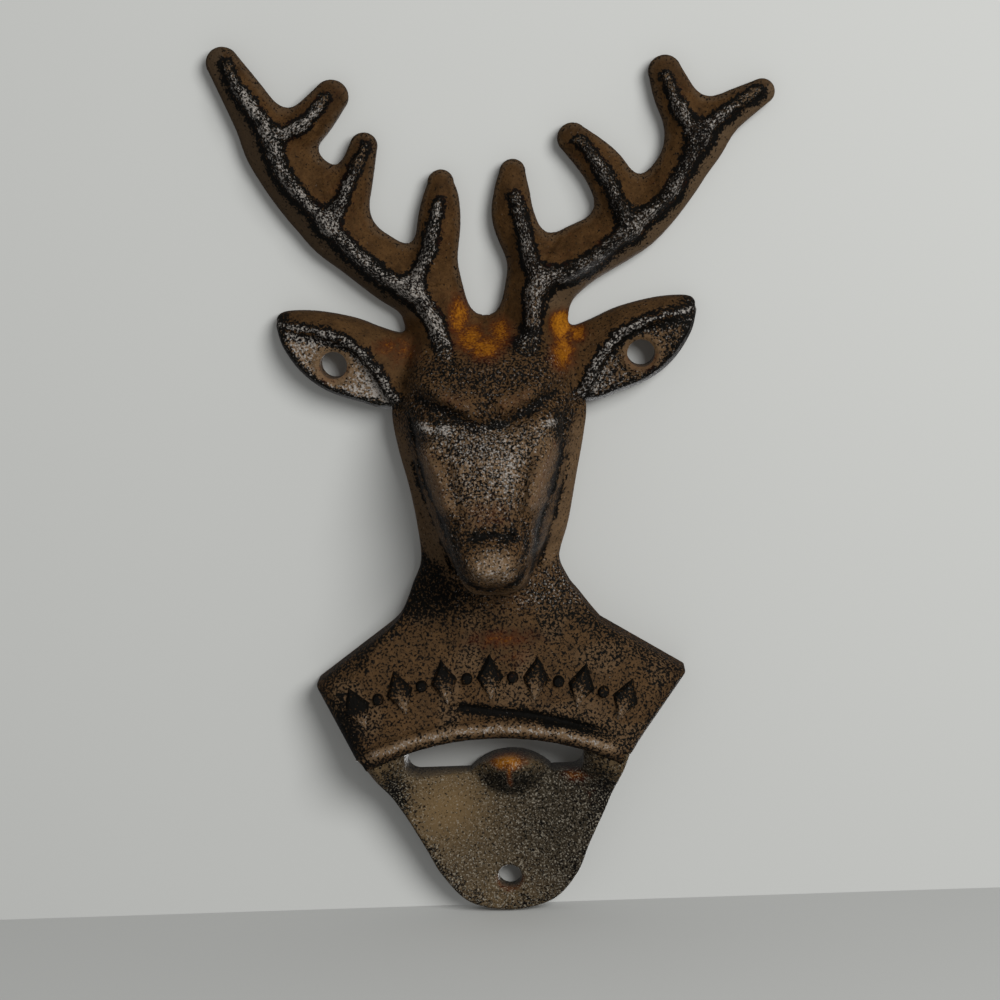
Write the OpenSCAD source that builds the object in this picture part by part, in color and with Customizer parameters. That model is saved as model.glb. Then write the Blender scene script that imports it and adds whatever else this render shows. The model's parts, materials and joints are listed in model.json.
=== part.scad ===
// Wall mounted bottle opener with a stag's head, a single iron casting.
// It is drawn in the sections that its foundry pattern is glued up from, which meet face to face.
// Everything is drawn lying on its back: x across, y up the wall, z out from the wall, with the
// lower screw hole at the origin. The last module stands it up against the wall.

/* [Casting] */
// Thickness of the cast wall over the hollows in the back
wall = 4; // [3:0.5:5]
// Thickness of the antlers and ears at their outer edge
edge_t = 3; // [2:0.5:4]

/* [Screw holes] */
// Diameter of the screw hole through each ear
ear_hole_d = 5.6; // [4:0.2:6.4]
// Distance of the ear holes from the middle line
ear_hole_x = 31; // [30:0.5:32]
// Height of the ear holes above the lower hole
ear_hole_y = 108.5; // [107.5:0.5:109.5]
// Diameter of the lower screw hole
lower_hole_d = 5; // [4:0.2:6]

/* [Mouth] */
// Sideways place of the mouth's middle
mouth_x = -2; // [-3:0.5:0]
// Width of the slot behind the lip, wide enough for a crown cap
mouth_w = 36.5; // [34:0.5:38]
// Height of the lip's underside above the lower hole, at the mouth's middle
lip_y = 32.2; // [31:0.2:33]
// Radius of the arch of the lip's underside
lip_r = 58; // [52:1:62]
// Width of the lip's bead
lip_w = 2.8; // [2.4:0.2:3.6]
// Distance from the wall to the back of the lip
lip_back = 10.5; // [9.5:0.5:11]
// Distance from the wall to the front of the lip
lip_front = 16.5; // [16:0.5:18]
// Half angle that the lip's bead covers, in degrees
lip_angle = 27; // [25:0.5:28]
// Height of the scoop's upper edge, which is the slot's lower edge
sill_y = 23; // [22:0.5:24]

/* [Tooth] */
// Radius of the lug that a cap's top bears on
tooth_r = 8.4; // [7:0.2:9]
// Sideways place of the lug
tooth_x = 1.2; // [-1:0.2:2]
// Height of the lug's centre above the lower hole
tooth_y = 25; // [24:0.5:26]
// Height of the top of the lug's arched upper edge
tooth_top_y = 26.6; // [25.8:0.2:27]
// Radius of the arch of the lug's upper edge
tooth_top_r = 14; // [12:1:20]
// Distance from the wall to the lug's rounded rim
tooth_rim = 6.2; // [5.6:0.2:7]
// Distance from the wall to the lug's crown
tooth_crown = 10; // [9:0.5:11]

/* [Scoop] */
// Thickness of the scoop's floor
floor_t = 5; // [4:0.5:6]
// Radius of the dished floor, across the scoop
dish_r = 34; // [32:1:40]
// Distance from the lower hole down to the tip
tip_drop = 8.5; // [8:0.5:10]

/* [Plate] */
// Half width of the plate at its lower end, from the mouth's middle
foot_x = 29.3; // [28:0.1:30.5]
// Half width of the plate at its two corners
corner_x = 38.2; // [36:0.2:40]
// Height of the two corners above the lower hole
corner_y = 43; // [41:0.5:45]
// Height of the plate's upper edge, where the neck starts
shoulder_y = 54; // [52:0.5:55]
// Distance from the wall to the plate's front, beside the lip
plate_low_h = 15; // [14.5:0.5:16]
// Fall of the plate's front for each millimetre away from the lip
plate_fall = 0.28; // [0.22:0.02:0.32]

/* [Ornament] */
// Number of raised lozenges along the plate
lozenges = 7; // [3:2:9]
// Angle between one lozenge and the next, in degrees
lozenge_step = 7.6; // [7:0.2:8]
// Width of a lozenge
lozenge_w = 6; // [4:0.5:7]
// Height of a lozenge
lozenge_l = 9.6; // [7:0.2:11]
// Diameter of the beads between the lozenges
bead_d = 2.6; // [2:0.2:3]
// Distance of the row from the lip's bead
row_gap = 9.6; // [8:0.2:11]
// Height of the raised ornament
relief_h = 1.2; // [0.8:0.2:1.6]

/* [Neck and head] */
// Half width of the neck at the plate
neck_x = 21.8; // [20:0.2:23]
// Sideways lean of the neck at the plate
neck_lean = -1; // [-2:0.2:0]
// Thickness of the neck and head at their outer edge
side_h = 5.5; // [4.5:0.5:6.5]
// Thickness of the neck on the middle line
neck_h = 11; // [9.5:0.5:12]
// Height of the chin above the lower hole
chin_y = 62.5; // [61:0.5:64]
// Half width under the cheeks
jaw_x = 14; // [13.4:0.2:15]
// Sideways lean of the jaw
jaw_lean = -1.2; // [-2:0.2:0]
// Height of the nose above the lower hole
nose_y = 70.5; // [69:0.5:72]
// Distance from the wall to the nose
nose_h = 31.5; // [29:0.5:34]
// Half width of the muzzle
muzzle_x = 9.4; // [8.6:0.2:10.4]
// Height of the lower ear roots above the lower hole
ear_low_y = 98.7; // [97:0.5:100]
// Half width of the head at the lower ear roots
head_x = 19.4; // [18.4:0.2:20.4]
// Distance from the wall to the forehead between the eyes
brow_h = 21; // [19:0.5:23]
// Height of the upper ear roots above the lower hole
ear_top_y = 113.6; // [112:0.2:115]
// Half width of the head at the upper ear roots
temple_x = 16.6; // [15.6:0.2:17.6]
// Height of the top of the head, where the antlers start
crown_y = 117; // [116:0.5:118]
// Half width of the top of the head
crown_x = 18; // [17:0.2:19]
// Distance from the wall to the front of the head's top
crown_h = 10; // [9:0.5:11]

/* [Ears] */
// Distance of the ear tips from the middle line
ear_tip_x = 42.3; // [40:0.1:45]
// Height of the ear tips above the lower hole
ear_tip_y = 118.4; // [116:0.2:121]
// Swell of an ear's upper edge
ear_arch = 3; // [2:0.2:4]
// Swell of an ear's lower edge
ear_belly = 6.2; // [5:0.2:7]
// Distance from the wall to an ear's rim
ear_rim_h = 8.6; // [7.5:0.2:10]
// Distance from the wall to the hollow of an ear
ear_cup_h = 6; // [5:0.5:7]
// Width of an ear's rim
ear_rim_w = 1.2; // [0.8:0.2:2]

/* [Antlers] */
// Sideways place of each antler's root
root_x = 10.2; // [9.8:0.1:10.8]
// Half width of an antler's worn crest
crest_r = 1.4; // [1:0.1:1.8]
// Rise of an antler's flank for each millimetre towards its crest
flank_slope = 1.5; // [1.2:0.1:1.8]
// Radius that rounds the crotches between the tines
crotch_r = 2.2; // [1:0.2:2.4]
// Radius that rounds the notch between the two antlers
notch_r = 4.4; // [3:0.2:5]
// Thickness of the web in the crotches
web_t = 3.8; // [3.4:0.2:5]

/* [Hidden] */
over = 1;
reach = 200;
$fn = 64;

// The lip's arch, and the plate that fans out from it
lip_cy = lip_y - lip_r;
lip_out = lip_r + lip_w;
foot_y = lip_cy + sqrt(lip_out*lip_out - foot_x*foot_x);
fan_angle = 45;
plate_r = lip_out + corner_y;
row_r = lip_out + row_gap;

// Antler courses from each root: x, y and half width, with the tines from the lowest to the highest
left_beam = [[0.2, -4, 7.5], [-1.8, 4.5, 6.3], [-8.8, 9.5, 5.6], [-21.3, 20, 5.2], [-29.6, 31, 4.9],
    [-33.8, 41, 4.7], [-40.2, 52.5, 3.2]];
left_tines = [
    [[0.3, 1, 4.6], [0.6, 11, 4.3], [1.6, 20, 4.3], [2.3, 25.7, 3.9]],
    [[-18.3, 19, 4.6], [-15.6, 26.5, 3.9], [-12.8, 34.9, 2.7]],
    [[-29.8, 36.5, 4.6], [-24, 39.6, 4.3], [-18.8, 44.9, 3.4]]];
right_beam = [[0.2, -4, 7.5], [1.3, 4, 6.2], [7.8, 10, 5.7], [20.6, 17.2, 5.2], [29, 26.2, 5],
    [35.8, 35.8, 4.5], [46.6, 42.3, 2.6]];
right_tines = [
    [[-0.6, 1, 5], [-0.8, 10, 4.3], [-3.5, 19, 4.6], [-3.8, 27, 4.1]],
    [[18.8, 19.5, 4.8], [14.8, 28.2, 4.3], [8.7, 34.7, 3.1]],
    [[33.3, 34, 4.6], [29.4, 42, 4.1], [27.5, 47, 3.3]]];
course_steps = 3;
end_angles = [30, 58, 80];
end_crest = 0.6;
web_inset = 0.4;

// Sides of the tongue below the plate, half width and height
tongue_side = [[9.5, -6], [14.5, 1], [17.5, 8], [21, 14.5]];
tongue_steps = 6;

// Rows and columns of the carved head and neck
head_cols = 32;
chin_rows = 8;
face_rows = 14;
ear_rows = 7;
neck_rows = 5;
blend = 2;

// The ears: points along each edge, the place of the cup and the size that its rim shrinks from
ear_points = 14;
ear_size = 14;
ear_flank = 3.2;
cup_offset = [-1, 0.8];
cup_droop = [0.4, -0.9];

// A smooth course through a list of points
function between(a, b, c, d, t) =
    (2*b + (c - a)*t + (2*a - 5*b + 4*c - d)*t*t + (3*b - 3*c + d - a)*t*t*t)/2;
function course(p, steps) = let (last = len(p) - 1) concat(
    [for (i = [0:last - 1], k = [0:steps - 1])
        between(p[max(i - 1, 0)], p[i], p[i + 1], p[min(i + 2, last)], k/steps)],
    [p[last]]);
function span(a, b, n) = [for (i = [0:n - 1]) a + (b - a)*i/n];

// A flat topped bell and a soft join that shape the carved head
function bell(x, w) = 1/(1 + pow(abs(x)/w, 6));
function join(a, b, k) = (a + b + sqrt((a - b)*(a - b) + k*k))/2;

// Outline of the neck and head: half width at a height, narrowest just under the nose
chin_flare = 2.2;
throat_drop = 3.5;
jowl_rise = 4.5;
jowl_swell = 1.4;
jowl_lean = -0.2;
cheek_drop = 7;
cheek_in = 0.5;
outline_x = [[shoulder_y, neck_x], [chin_y, jaw_x + chin_flare], [nose_y - throat_drop, jaw_x],
    [nose_y + jowl_rise, jaw_x + jowl_swell], [ear_low_y - cheek_drop, head_x - cheek_in],
    [ear_low_y, head_x], [ear_top_y, temple_x], [crown_y, crown_x]];
function half_x(y) = lookup(y, outline_x);

// The middle of the outline leans a little to one side at the jaw
middle_x = [[shoulder_y, neck_lean], [chin_y, jaw_lean], [nose_y - throat_drop, jaw_lean],
    [nose_y + jowl_rise, jowl_lean], [ear_low_y, 0]];
function mid_x(y) = lookup(y, middle_x);

// The face stands out from the flat flanks: a round muzzle, then a straight bridge up to the crown
face_in = 2;
face_x = [[nose_y, muzzle_x], [ear_low_y, head_x - face_in], [crown_y, crown_x - face_in]];
bridge_h = [[nose_y, nose_h], [ear_low_y, brow_h], [crown_y, crown_h]];
function muzzle_h(y) = nose_h*sqrt(max(0, 1 - pow((nose_y - y)/(nose_y - chin_y), 2)));
function face_h(y) = y < nose_y ? muzzle_h(y) : lookup(y, bridge_h);

// Carving of the face. Each mound or hollow: its rise, its distance from the middle line, its height,
// its half width, its half height and its slope away from the middle line
eye_in = 7.2;
eye_drop = 1.9;
lobe_drop = 7.5;
groove_drop = 12;
eye_x = head_x - eye_in;
eye_y = ear_low_y - eye_drop;
brow = [2, eye_x - 3, eye_y + 4, 5, 1.8, 0.35];
socket = [-2.4, eye_x + 0.8, eye_y, 3, 2, 0];
eyeball = [1.6, eye_x + 0.6, eye_y - 0.2, 1.5, 1.3, 0];
cheek_lobe = [1.6, eye_x + 1.4, eye_y - lobe_drop, 2.2, 4.5, 0];
bridge_groove = [-1.4, eye_x - 2, eye_y - groove_drop, 1.6, 6, 0];
nose_pad = [1.2, 0, nose_y - 0.5, 5, 4, 0];
nostril = [-1.6, 4.4, nose_y - 1.6, 1.1, 1.2, 0];
nose_groove = [-0.8, 0, nose_y + 5.6, 6, 1.8, 0];
antler_root = [1.4, root_x, crown_y, 2.4, 7, 0];
crown_hollow = [web_t - crown_h, 0, crown_y, 5, 6, 0];
carved = [brow, socket, eyeball, cheek_lobe, bridge_groove, nose_pad, nostril, nose_groove, antler_root,
    crown_hollow];
carved_from = 3;
function mound(x, y, c) = c[0]*exp(-pow((x - c[1])/c[3], 2) - pow((y - c[2] - c[5]*(x - c[1]))/c[4], 2));
function sum(v) = v*[for (each_one = v) 1];
function carving(x, y) = y < chin_y + carved_from ? 0 : sum([for (c = carved) mound(abs(x), y, c)]);

// The front of the plate falls away from the lip
function plate_h(r) = plate_low_h - plate_fall*(r - lip_out);

// The front of the neck and head, which starts level with the plate, and the back of their hollow
function cheek(x, y) = let (s = (x - mid_x(y))/half_x(y)) side_h + (neck_h - side_h)*(1 - s*s);
function flank(x, y) = let (t = max(0, chin_y - y)/(chin_y - shoulder_y))
    cheek(x, y)*(1 - t) + plate_h(norm([x - mouth_x, y - lip_cy]))*t;
function face(x, y) = face_h(y)*bell(x, lookup(y, face_x));
function front(x, y) = join(flank(x, y), face(x, y) + carving(x, y), blend);
function back(x, y) = let (m = mid_x(y), k = 1 + wall/half_x(y), u = m + (x - m)*k)
    abs(x - m) > half_x(y) - wall || y > crown_y - wall ? 0
    : max(0, min(front(u, y), front(u, y - wall), front(u, y + wall)) - wall);

// A carved block between two heights, with the hollow in its back
module relief(rows) {
    n = head_cols + 1;
    last = len(rows) - 1;
    under = n*len(rows);
    grid = [for (y = rows, i = [0:head_cols]) [mid_x(y) + half_x(y)*(2*i/head_cols - 1), y]];
    function at(j, i) = j*n + i;
    points = concat(
        [for (p = grid) [p.x, p.y, front(p.x, p.y)]],
        [for (p = grid) [p.x, p.y, back(p.x, p.y)]]);
    faces = concat(
        [for (j = [0:last - 1], i = [0:head_cols - 1]) [at(j, i), at(j + 1, i), at(j + 1, i + 1)]],
        [for (j = [0:last - 1], i = [0:head_cols - 1]) [at(j, i), at(j + 1, i + 1), at(j, i + 1)]],
        [for (j = [0:last - 1], i = [0:head_cols - 1])
            [under + at(j, i), under + at(j + 1, i + 1), under + at(j + 1, i)]],
        [for (j = [0:last - 1], i = [0:head_cols - 1])
            [under + at(j, i), under + at(j, i + 1), under + at(j + 1, i + 1)]],
        [for (j = [0:last - 1]) [at(j + 1, 0), at(j, 0), under + at(j, 0), under + at(j + 1, 0)]],
        [for (j = [0:last - 1], i = head_cols)
            [at(j, i), at(j + 1, i), under + at(j + 1, i), under + at(j, i)]],
        [for (i = [0:head_cols - 1]) [at(0, i), at(0, i + 1), under + at(0, i + 1), under + at(0, i)]],
        [for (i = [0:head_cols - 1])
            [at(last, i + 1), at(last, i), under + at(last, i), under + at(last, i + 1)]]);
    polyhedron(points, faces, convexity = 8);
}

// Stands what is drawn on its back up against the wall
module on_wall() {
    rotate([90, 0, 0])
        children();
}

// A limb of an antler: a drafted section swept along its course, with a round end.
// Each ring holds its middle, its direction, its half width and its crest's half width.
function heading(p, i) = let (d = p[min(i + 1, len(p) - 1)] - p[max(i - 1, 0)], flat = [d.x, d.y])
    flat/norm(flat);
function limb_rings(p) = let (last = len(p) - 1, d = heading(p, last), w = p[last].z) concat(
    [for (i = [0:last]) [[p[i].x, p[i].y], heading(p, i), p[i].z, crest_r]],
    [for (a = end_angles)
        [[p[last].x, p[last].y] + d*w*sin(a), d, w*cos(a), min(crest_r, end_crest*w*cos(a))]]);
function leftward(r) = [-r[1].y, r[1].x];

module limb(rings) {
    function top(r) = edge_t + (r[2] - r[3])*flank_slope;
    function section(r) =
        [[r[2], 0], [r[2], edge_t], [r[3], top(r)], [-r[3], top(r)], [-r[2], edge_t], [-r[2], 0]];
    n = len(section(rings[0]));
    last = (len(rings) - 1)*n;
    points = [for (r = rings, k = section(r)) let (q = r[0] + leftward(r)*k.x) [q.x, q.y, k.y]];
    faces = concat(
        [[for (k = [0:n - 1]) k]],
        [for (r = [0:len(rings) - 2], k = [0:n - 1]) [r*n + k, (r + 1)*n + k, (r + 1)*n + (k + 1)%n]],
        [for (r = [0:len(rings) - 2], k = [0:n - 1]) [r*n + k, (r + 1)*n + (k + 1)%n, r*n + (k + 1)%n]],
        [[for (k = [n - 1:-1:0]) last + k]]);
    polyhedron(points, faces, convexity = 6);
}

module limb_outline(rings) {
    polygon(concat([for (r = rings) r[0] + leftward(r)*r[2]],
        [for (i = [len(rings) - 1:-1:0]) rings[i][0] - leftward(rings[i])*rings[i][2]]));
}

// The fillet at an antler's foot that rounds its half of the notch between the antlers
module notch_fillet(root, limbs) {
    intersection() {
        offset(r = -notch_r - web_inset)
            offset(delta = notch_r)
                union() {
                    limb_outline(limbs[0]);
                    limb_outline(limbs[1]);
                    translate([-max(root, 0), -2*notch_r])
                        square([root_x, 2*notch_r]);
                }
        translate([-max(root, 0), -over])
            square([root_x, 2*notch_r]);
    }
}

function antler_limbs(beam, tines) =
    [for (p = concat([beam], tines)) limb_rings(course(p, course_steps))];

// The room that an antler takes up over the wall, which an ear stays clear of
module antler_room(root, limbs) {
    translate([root, crown_y, -over])
        linear_extrude(reach)
            intersection() {
                offset(delta = web_inset)
                    for (rings = limbs)
                        limb_outline(rings);
                translate([-reach/2, 0])
                    square(reach);
            }
}

// An antler: crested limbs, and a thin web that rounds the crotches between them
module antler(root, limbs) {
    translate([root, crown_y, 0])
        intersection() {
            union() {
                for (rings = limbs)
                    limb(rings);
                linear_extrude(web_t)
                    offset(r = -crotch_r - web_inset)
                        offset(delta = crotch_r)
                            for (rings = limbs)
                                limb_outline(rings);
                linear_extrude(web_t)
                    notch_fillet(root, limbs);
            }
            translate([-reach/2, 0, -over])
                cube([reach, reach, reach]);
        }
}

module left_antler() {
    color("#4a3626")
        on_wall()
            antler(-root_x, antler_limbs(left_beam, left_tines));
}

module right_antler() {
    color("#4a3626")
        on_wall()
            antler(root_x, antler_limbs(right_beam, right_tines));
}

// An ear: a leaf that rises from its edge to a rim and sinks to a shallow cup with the screw hole
module ear() {
    low = [head_x, ear_low_y];
    top = [temple_x, ear_top_y];
    tip = [ear_tip_x, ear_tip_y];
    down = [tip.y - low.y, low.x - tip.x]/norm(tip - low);
    up = [top.y - tip.y, tip.x - top.x]/norm(tip - top);
    function lower(t) = low + (tip - low)*t + down*ear_belly*sin(180*t);
    function upper(t) = tip + (top - tip)*t + up*ear_arch*sin(180*t);
    leaf = concat([for (i = [0:ear_points - 1]) lower(i/ear_points)],
        [for (i = [0:ear_points]) upper(i/ear_points)]);
    n = len(leaf);
    middle = [ear_hole_x, ear_hole_y] + cup_offset;
    // Each ring: how much smaller than the outline it is, its distance from the wall and its droop
    rings = [[0, 0, 0], [0, edge_t, 0], [ear_flank, ear_rim_h, 1], [ear_flank + ear_rim_w, ear_rim_h, 1],
        [ear_flank + 2*ear_rim_w, ear_cup_h, 1]];
    points = [for (r = rings, p = leaf)
        let (q = middle + (p - middle)*(1 - r[0]/ear_size) + cup_droop*r[2]) [q.x, q.y, r[1]]];
    last = (len(rings) - 1)*n;
    faces = concat(
        [[for (i = [0:n - 1]) i]],
        [for (r = [0:len(rings) - 2], i = [0:n - 1])
            [r*n + i, (r + 1)*n + i, (r + 1)*n + (i + 1)%n]],
        [for (r = [0:len(rings) - 2], i = [0:n - 1])
            [r*n + i, (r + 1)*n + (i + 1)%n, r*n + (i + 1)%n]],
        [[for (i = [n - 1:-1:0]) last + i]]);
    difference() {
        polyhedron(points, faces, convexity = 6);
        translate([ear_hole_x, ear_hole_y, -over])
            cylinder(h = ear_rim_h + 2*over, d = ear_hole_d);
    }
}

module left_ear() {
    color("#6b513f")
        on_wall()
            difference() {
                mirror([1, 0, 0])
                    ear();
                antler_room(-root_x, antler_limbs(left_beam, left_tines));
            }
}

module right_ear() {
    color("#6b513f")
        on_wall()
            difference() {
                ear();
                antler_room(root_x, antler_limbs(right_beam, right_tines));
            }
}

module head() {
    color("#503e33")
        on_wall()
            relief(concat(span(chin_y, nose_y, chin_rows), span(nose_y, ear_low_y, face_rows),
                span(ear_low_y, ear_top_y, ear_rows), [ear_top_y, crown_y]));
}

module neck() {
    color("#2b2420")
        on_wall()
            relief(concat(span(shoulder_y, chin_y, neck_rows), [chin_y]));
}

// Turns a profile, drawn by its distance from the lip's centre, through an angle each side of the middle
module fan(half_angle) {
    translate([mouth_x, lip_cy, 0])
        rotate([0, 0, 90 - half_angle])
            rotate_extrude(angle = 2*half_angle, $fn = 180)
                children();
}

module plate_outline() {
    polygon([[mouth_x - foot_x, foot_y], [mouth_x + foot_x, foot_y], [corner_x, corner_y],
        [mid_x(shoulder_y) + neck_x, shoulder_y], [mid_x(shoulder_y) - neck_x, shoulder_y],
        [-corner_x, corner_y]]);
}

module plate() {
    color("#4d3a2b")
        on_wall()
            difference() {
                intersection() {
                    fan(fan_angle)
                        polygon([[lip_out, 0], [plate_r, 0], [plate_r, plate_h(plate_r)],
                            [lip_out, plate_h(lip_out)]]);
                    linear_extrude(plate_low_h + over)
                        plate_outline();
                }
                intersection() {
                    fan(fan_angle)
                        polygon([[lip_r, -plate_low_h], [plate_r, -plate_low_h],
                            [plate_r, plate_h(plate_r) - wall], [lip_r, plate_h(lip_r) - wall]]);
                    translate([0, 0, -2*over])
                        linear_extrude(plate_low_h)
                            union() {
                                offset(delta = -wall)
                                    plate_outline();
                                translate([mouth_x - mouth_w/2, foot_y - wall])
                                    square([mouth_w, lip_y + lip_w + 2*wall - foot_y]);
                                translate([mid_x(shoulder_y) - neck_x + wall, shoulder_y - 2*wall])
                                    square([2*neck_x - 2*wall, 2*wall + over]);
                            }
                }
            }
}

// The skin of the plate's front that the ornament stands in
module ornament_skin() {
    fan(fan_angle)
        polygon([[lip_out, plate_h(lip_out)], [plate_r, plate_h(plate_r)],
            [plate_r, plate_h(plate_r) + relief_h], [lip_out, plate_h(lip_out) + relief_h]]);
}

module along_row(angle) {
    translate([mouth_x, lip_cy, 0])
        rotate([0, 0, -angle])
            translate([0, row_r, 0])
                linear_extrude(plate_low_h + relief_h)
                    children();
}

module plate_ornament() {
    first = -lozenge_step*(lozenges - 1)/2;
    color("#6a5240")
        on_wall() {
            for (i = [0:lozenges - 1])
                intersection() {
                    along_row(first + i*lozenge_step)
                        polygon([[-lozenge_w/2, 0], [0, -lozenge_l/2], [lozenge_w/2, 0], [0, lozenge_l/2]]);
                    ornament_skin();
                }
            for (i = [0:lozenges - 2])
                intersection() {
                    along_row(first + (i + 0.5)*lozenge_step)
                        circle(d = bead_d);
                    ornament_skin();
                }
        }
}

// The bead that hooks a cap's skirt, with a rounded front
module cap_lip() {
    bead_r = lip_w/2;
    color("#8a6b5a")
        on_wall()
            fan(lip_angle)
                union() {
                    translate([lip_r, lip_back])
                        square([lip_w, lip_front - bead_r - lip_back]);
                    translate([lip_r + bead_r, lip_front - bead_r])
                        circle(bead_r);
                }
}

module tongue_outline() {
    left = [for (i = [len(tongue_side) - 1:-1:0]) [-tongue_side[i].x, tongue_side[i].y]];
    feet = [[mouth_x - foot_x, foot_y], [mouth_x + foot_x, foot_y]];
    polygon(concat(
        course(concat([feet[0]], left, [[0, -tip_drop]], tongue_side, [feet[1]]), tongue_steps),
        [[mouth_x + mouth_w/2, lip_y + lip_w], [mouth_x - mouth_w/2, lip_y + lip_w]]));
}

// The tongue: dished along its length, with two horns that carry the ends of the lip and the plate
module cap_scoop() {
    color("#5d5347")
        on_wall()
            difference() {
                intersection() {
                    linear_extrude(lip_back)
                        tongue_outline();
                    translate([mouth_x, lip_cy, -over])
                        cylinder(h = lip_back + 2*over, r = lip_out, $fn = 180);
                }
                translate([0, -reach/2, floor_t + dish_r])
                    rotate([-90, 0, 0])
                        cylinder(h = reach, r = dish_r, $fn = 180);
                translate([mouth_x - mouth_w/2, sill_y, -over])
                    cube([mouth_w, reach, lip_back + 2*over]);
                translate([tooth_x, tooth_y, -over])
                    cylinder(h = lip_back + 2*over, r = tooth_r);
                translate([0, 0, -over])
                    cylinder(h = lip_back + 2*over, d = lower_hole_d);
            }
}

// The lug: a round plug with a domed front and an arched upper edge
module cap_tooth() {
    rise = tooth_crown - tooth_rim;
    dome_r = (tooth_r*tooth_r + rise*rise)/(2*rise);
    color("#70502c")
        on_wall()
            intersection() {
                translate([tooth_x, tooth_y, 0])
                    cylinder(h = tooth_crown + over, r = tooth_r);
                translate([tooth_x, tooth_y, tooth_crown - dome_r])
                    rotate([90, 0, 0])
                        sphere(dome_r);
                translate([tooth_x, tooth_top_y - tooth_top_r, -over])
                    cylinder(h = tooth_crown + 2*over, r = tooth_top_r);
            }
}

left_antler();
right_antler();
left_ear();
right_ear();
head();
neck();
plate();
plate_ornament();
cap_lip();
cap_scoop();
cap_tooth();
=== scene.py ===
import json
import math

import bmesh
import bpy
import numpy as np
from mathutils import Matrix, Vector


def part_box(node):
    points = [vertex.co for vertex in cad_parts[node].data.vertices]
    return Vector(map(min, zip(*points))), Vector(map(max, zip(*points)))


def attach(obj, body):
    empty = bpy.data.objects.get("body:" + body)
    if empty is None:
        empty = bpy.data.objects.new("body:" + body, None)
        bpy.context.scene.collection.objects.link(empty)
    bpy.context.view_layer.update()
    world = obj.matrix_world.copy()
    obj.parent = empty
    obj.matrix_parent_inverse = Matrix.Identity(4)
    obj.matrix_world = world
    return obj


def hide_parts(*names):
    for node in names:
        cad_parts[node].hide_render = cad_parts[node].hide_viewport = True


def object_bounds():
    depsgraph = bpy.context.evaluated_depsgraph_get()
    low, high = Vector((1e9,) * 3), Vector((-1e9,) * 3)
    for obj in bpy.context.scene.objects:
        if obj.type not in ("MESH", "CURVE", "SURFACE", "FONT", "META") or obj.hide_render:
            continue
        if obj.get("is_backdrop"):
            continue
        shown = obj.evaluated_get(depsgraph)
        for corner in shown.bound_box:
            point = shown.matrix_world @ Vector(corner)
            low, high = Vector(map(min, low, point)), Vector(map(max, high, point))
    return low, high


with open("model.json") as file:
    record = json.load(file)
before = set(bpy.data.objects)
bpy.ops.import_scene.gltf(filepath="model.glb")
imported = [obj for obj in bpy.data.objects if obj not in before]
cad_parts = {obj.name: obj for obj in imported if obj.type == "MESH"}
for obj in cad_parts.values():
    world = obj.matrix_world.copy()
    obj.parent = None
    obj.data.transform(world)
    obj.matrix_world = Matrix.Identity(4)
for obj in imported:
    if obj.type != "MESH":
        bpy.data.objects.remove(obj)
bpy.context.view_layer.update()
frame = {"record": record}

# Plate
# The fan shaped plate that overhangs the mouth, cast hollow in a flat backed sand mould. Its rust brown paint
# is thick with black specks, with a black groove above the lip's bead and a bloom of red rust under the nose.
# All shapes are drawn in millimetres on a board: x across, y up the wall and z out from it.
cast_wall = 4
mouth_x = -2
mouth_half = 18.25
lip_r = 58
lip_out = 60.8
lip_cy = -25.8
lip_end = math.radians(26.4)
bead_mid_r, bead_half_w = 60.3, 2.2
bead_low_h, bead_rise = 14.6, 1.8
bead_reach, bead_slope, bead_blend = 1.2, 3, 0.6
# Angles, in radians, between which the bead dies out
bead_fade = (0.47, 0.38)
row_r = 70.4
shoulder_y = 54
plate_low_h = 15
plate_fall = 0.28
plate_sand = 0.2
plate_round = 0.9
corner_round, corner_span = 3.6, (23, 29)
corner_blend = 1
hollow_step = 0.3
plate_feet = ((-29.9, 27.5), (25.9, 27.5))
plate_corners = ((-38.2, 43), (38.2, 43))
neck_feet = ((-22.8, shoulder_y), (20.8, shoulder_y))
# The groove runs down towards the bead from left to right: places across and distances above the lip
groove_x, groove_up = (-12, -8.4, -0.9, 6.6, 16, 26), (4.4, 3.9, 2.7, 2.2, 1.8, 1.6)
groove_depth, groove_half = 0.9, 0.9
groove_start, groove_end = (-16, -8), (24, 17)


def soft_max(a, b, k):
    """The larger of two values, with the corner between them filled over a width."""
    return np.maximum(a, b) + np.maximum(k - np.abs(a - b), 0)**2/(4*k)


def soft_min(a, b, k):
    """The smaller of two values, with the corner between them rounded over a width."""
    return -soft_max(-a, -b, k)


def ease(start, end, v):
    """Goes smoothly from 0 at one value to 1 at another."""
    t = np.clip((v - start)/(end - start), 0, 1)
    return t*t*(3 - 2*t)


def hump(v, half):
    """A soft hump over a middle line, 1 on the line."""
    return np.exp(-(v/half)**2)


def spot(x, y, at_x, at_y, half_x, half_y):
    """A soft round spot, 1 in its middle."""
    return np.exp(-((x - at_x)/half_x)**2 - ((y - at_y)/half_y)**2)


def layered(base, *layers):
    """A value that each layer in turn covers with its own level, by its own weight."""
    for level, weight in layers:
        base = base + (level - base)*weight
    return base


def mixed(marks, others, weight):
    """Marks that change over to others by a weight."""
    return {mark: layered(value, (others[mark], weight)) for mark, value in marks.items()}


def grain(x, y, size, seed):
    """Smooth lumps of one size, from 0 to 1, the same on each run."""
    u, v = x/size, y/size
    i, j = np.floor(u).astype(int), np.floor(v).astype(int)
    u, v = ease(0, 1, u - i), ease(0, 1, v - j)
    lumps = 97
    i, j = i % lumps, j % lumps
    table = np.pad(np.random.default_rng(seed).random((lumps, lumps)), (0, 1), mode="wrap")
    low = table[i, j]*(1 - u) + table[i + 1, j]*u
    high = table[i, j + 1]*(1 - u) + table[i + 1, j + 1]*u
    return low*(1 - v) + high*v


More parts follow.
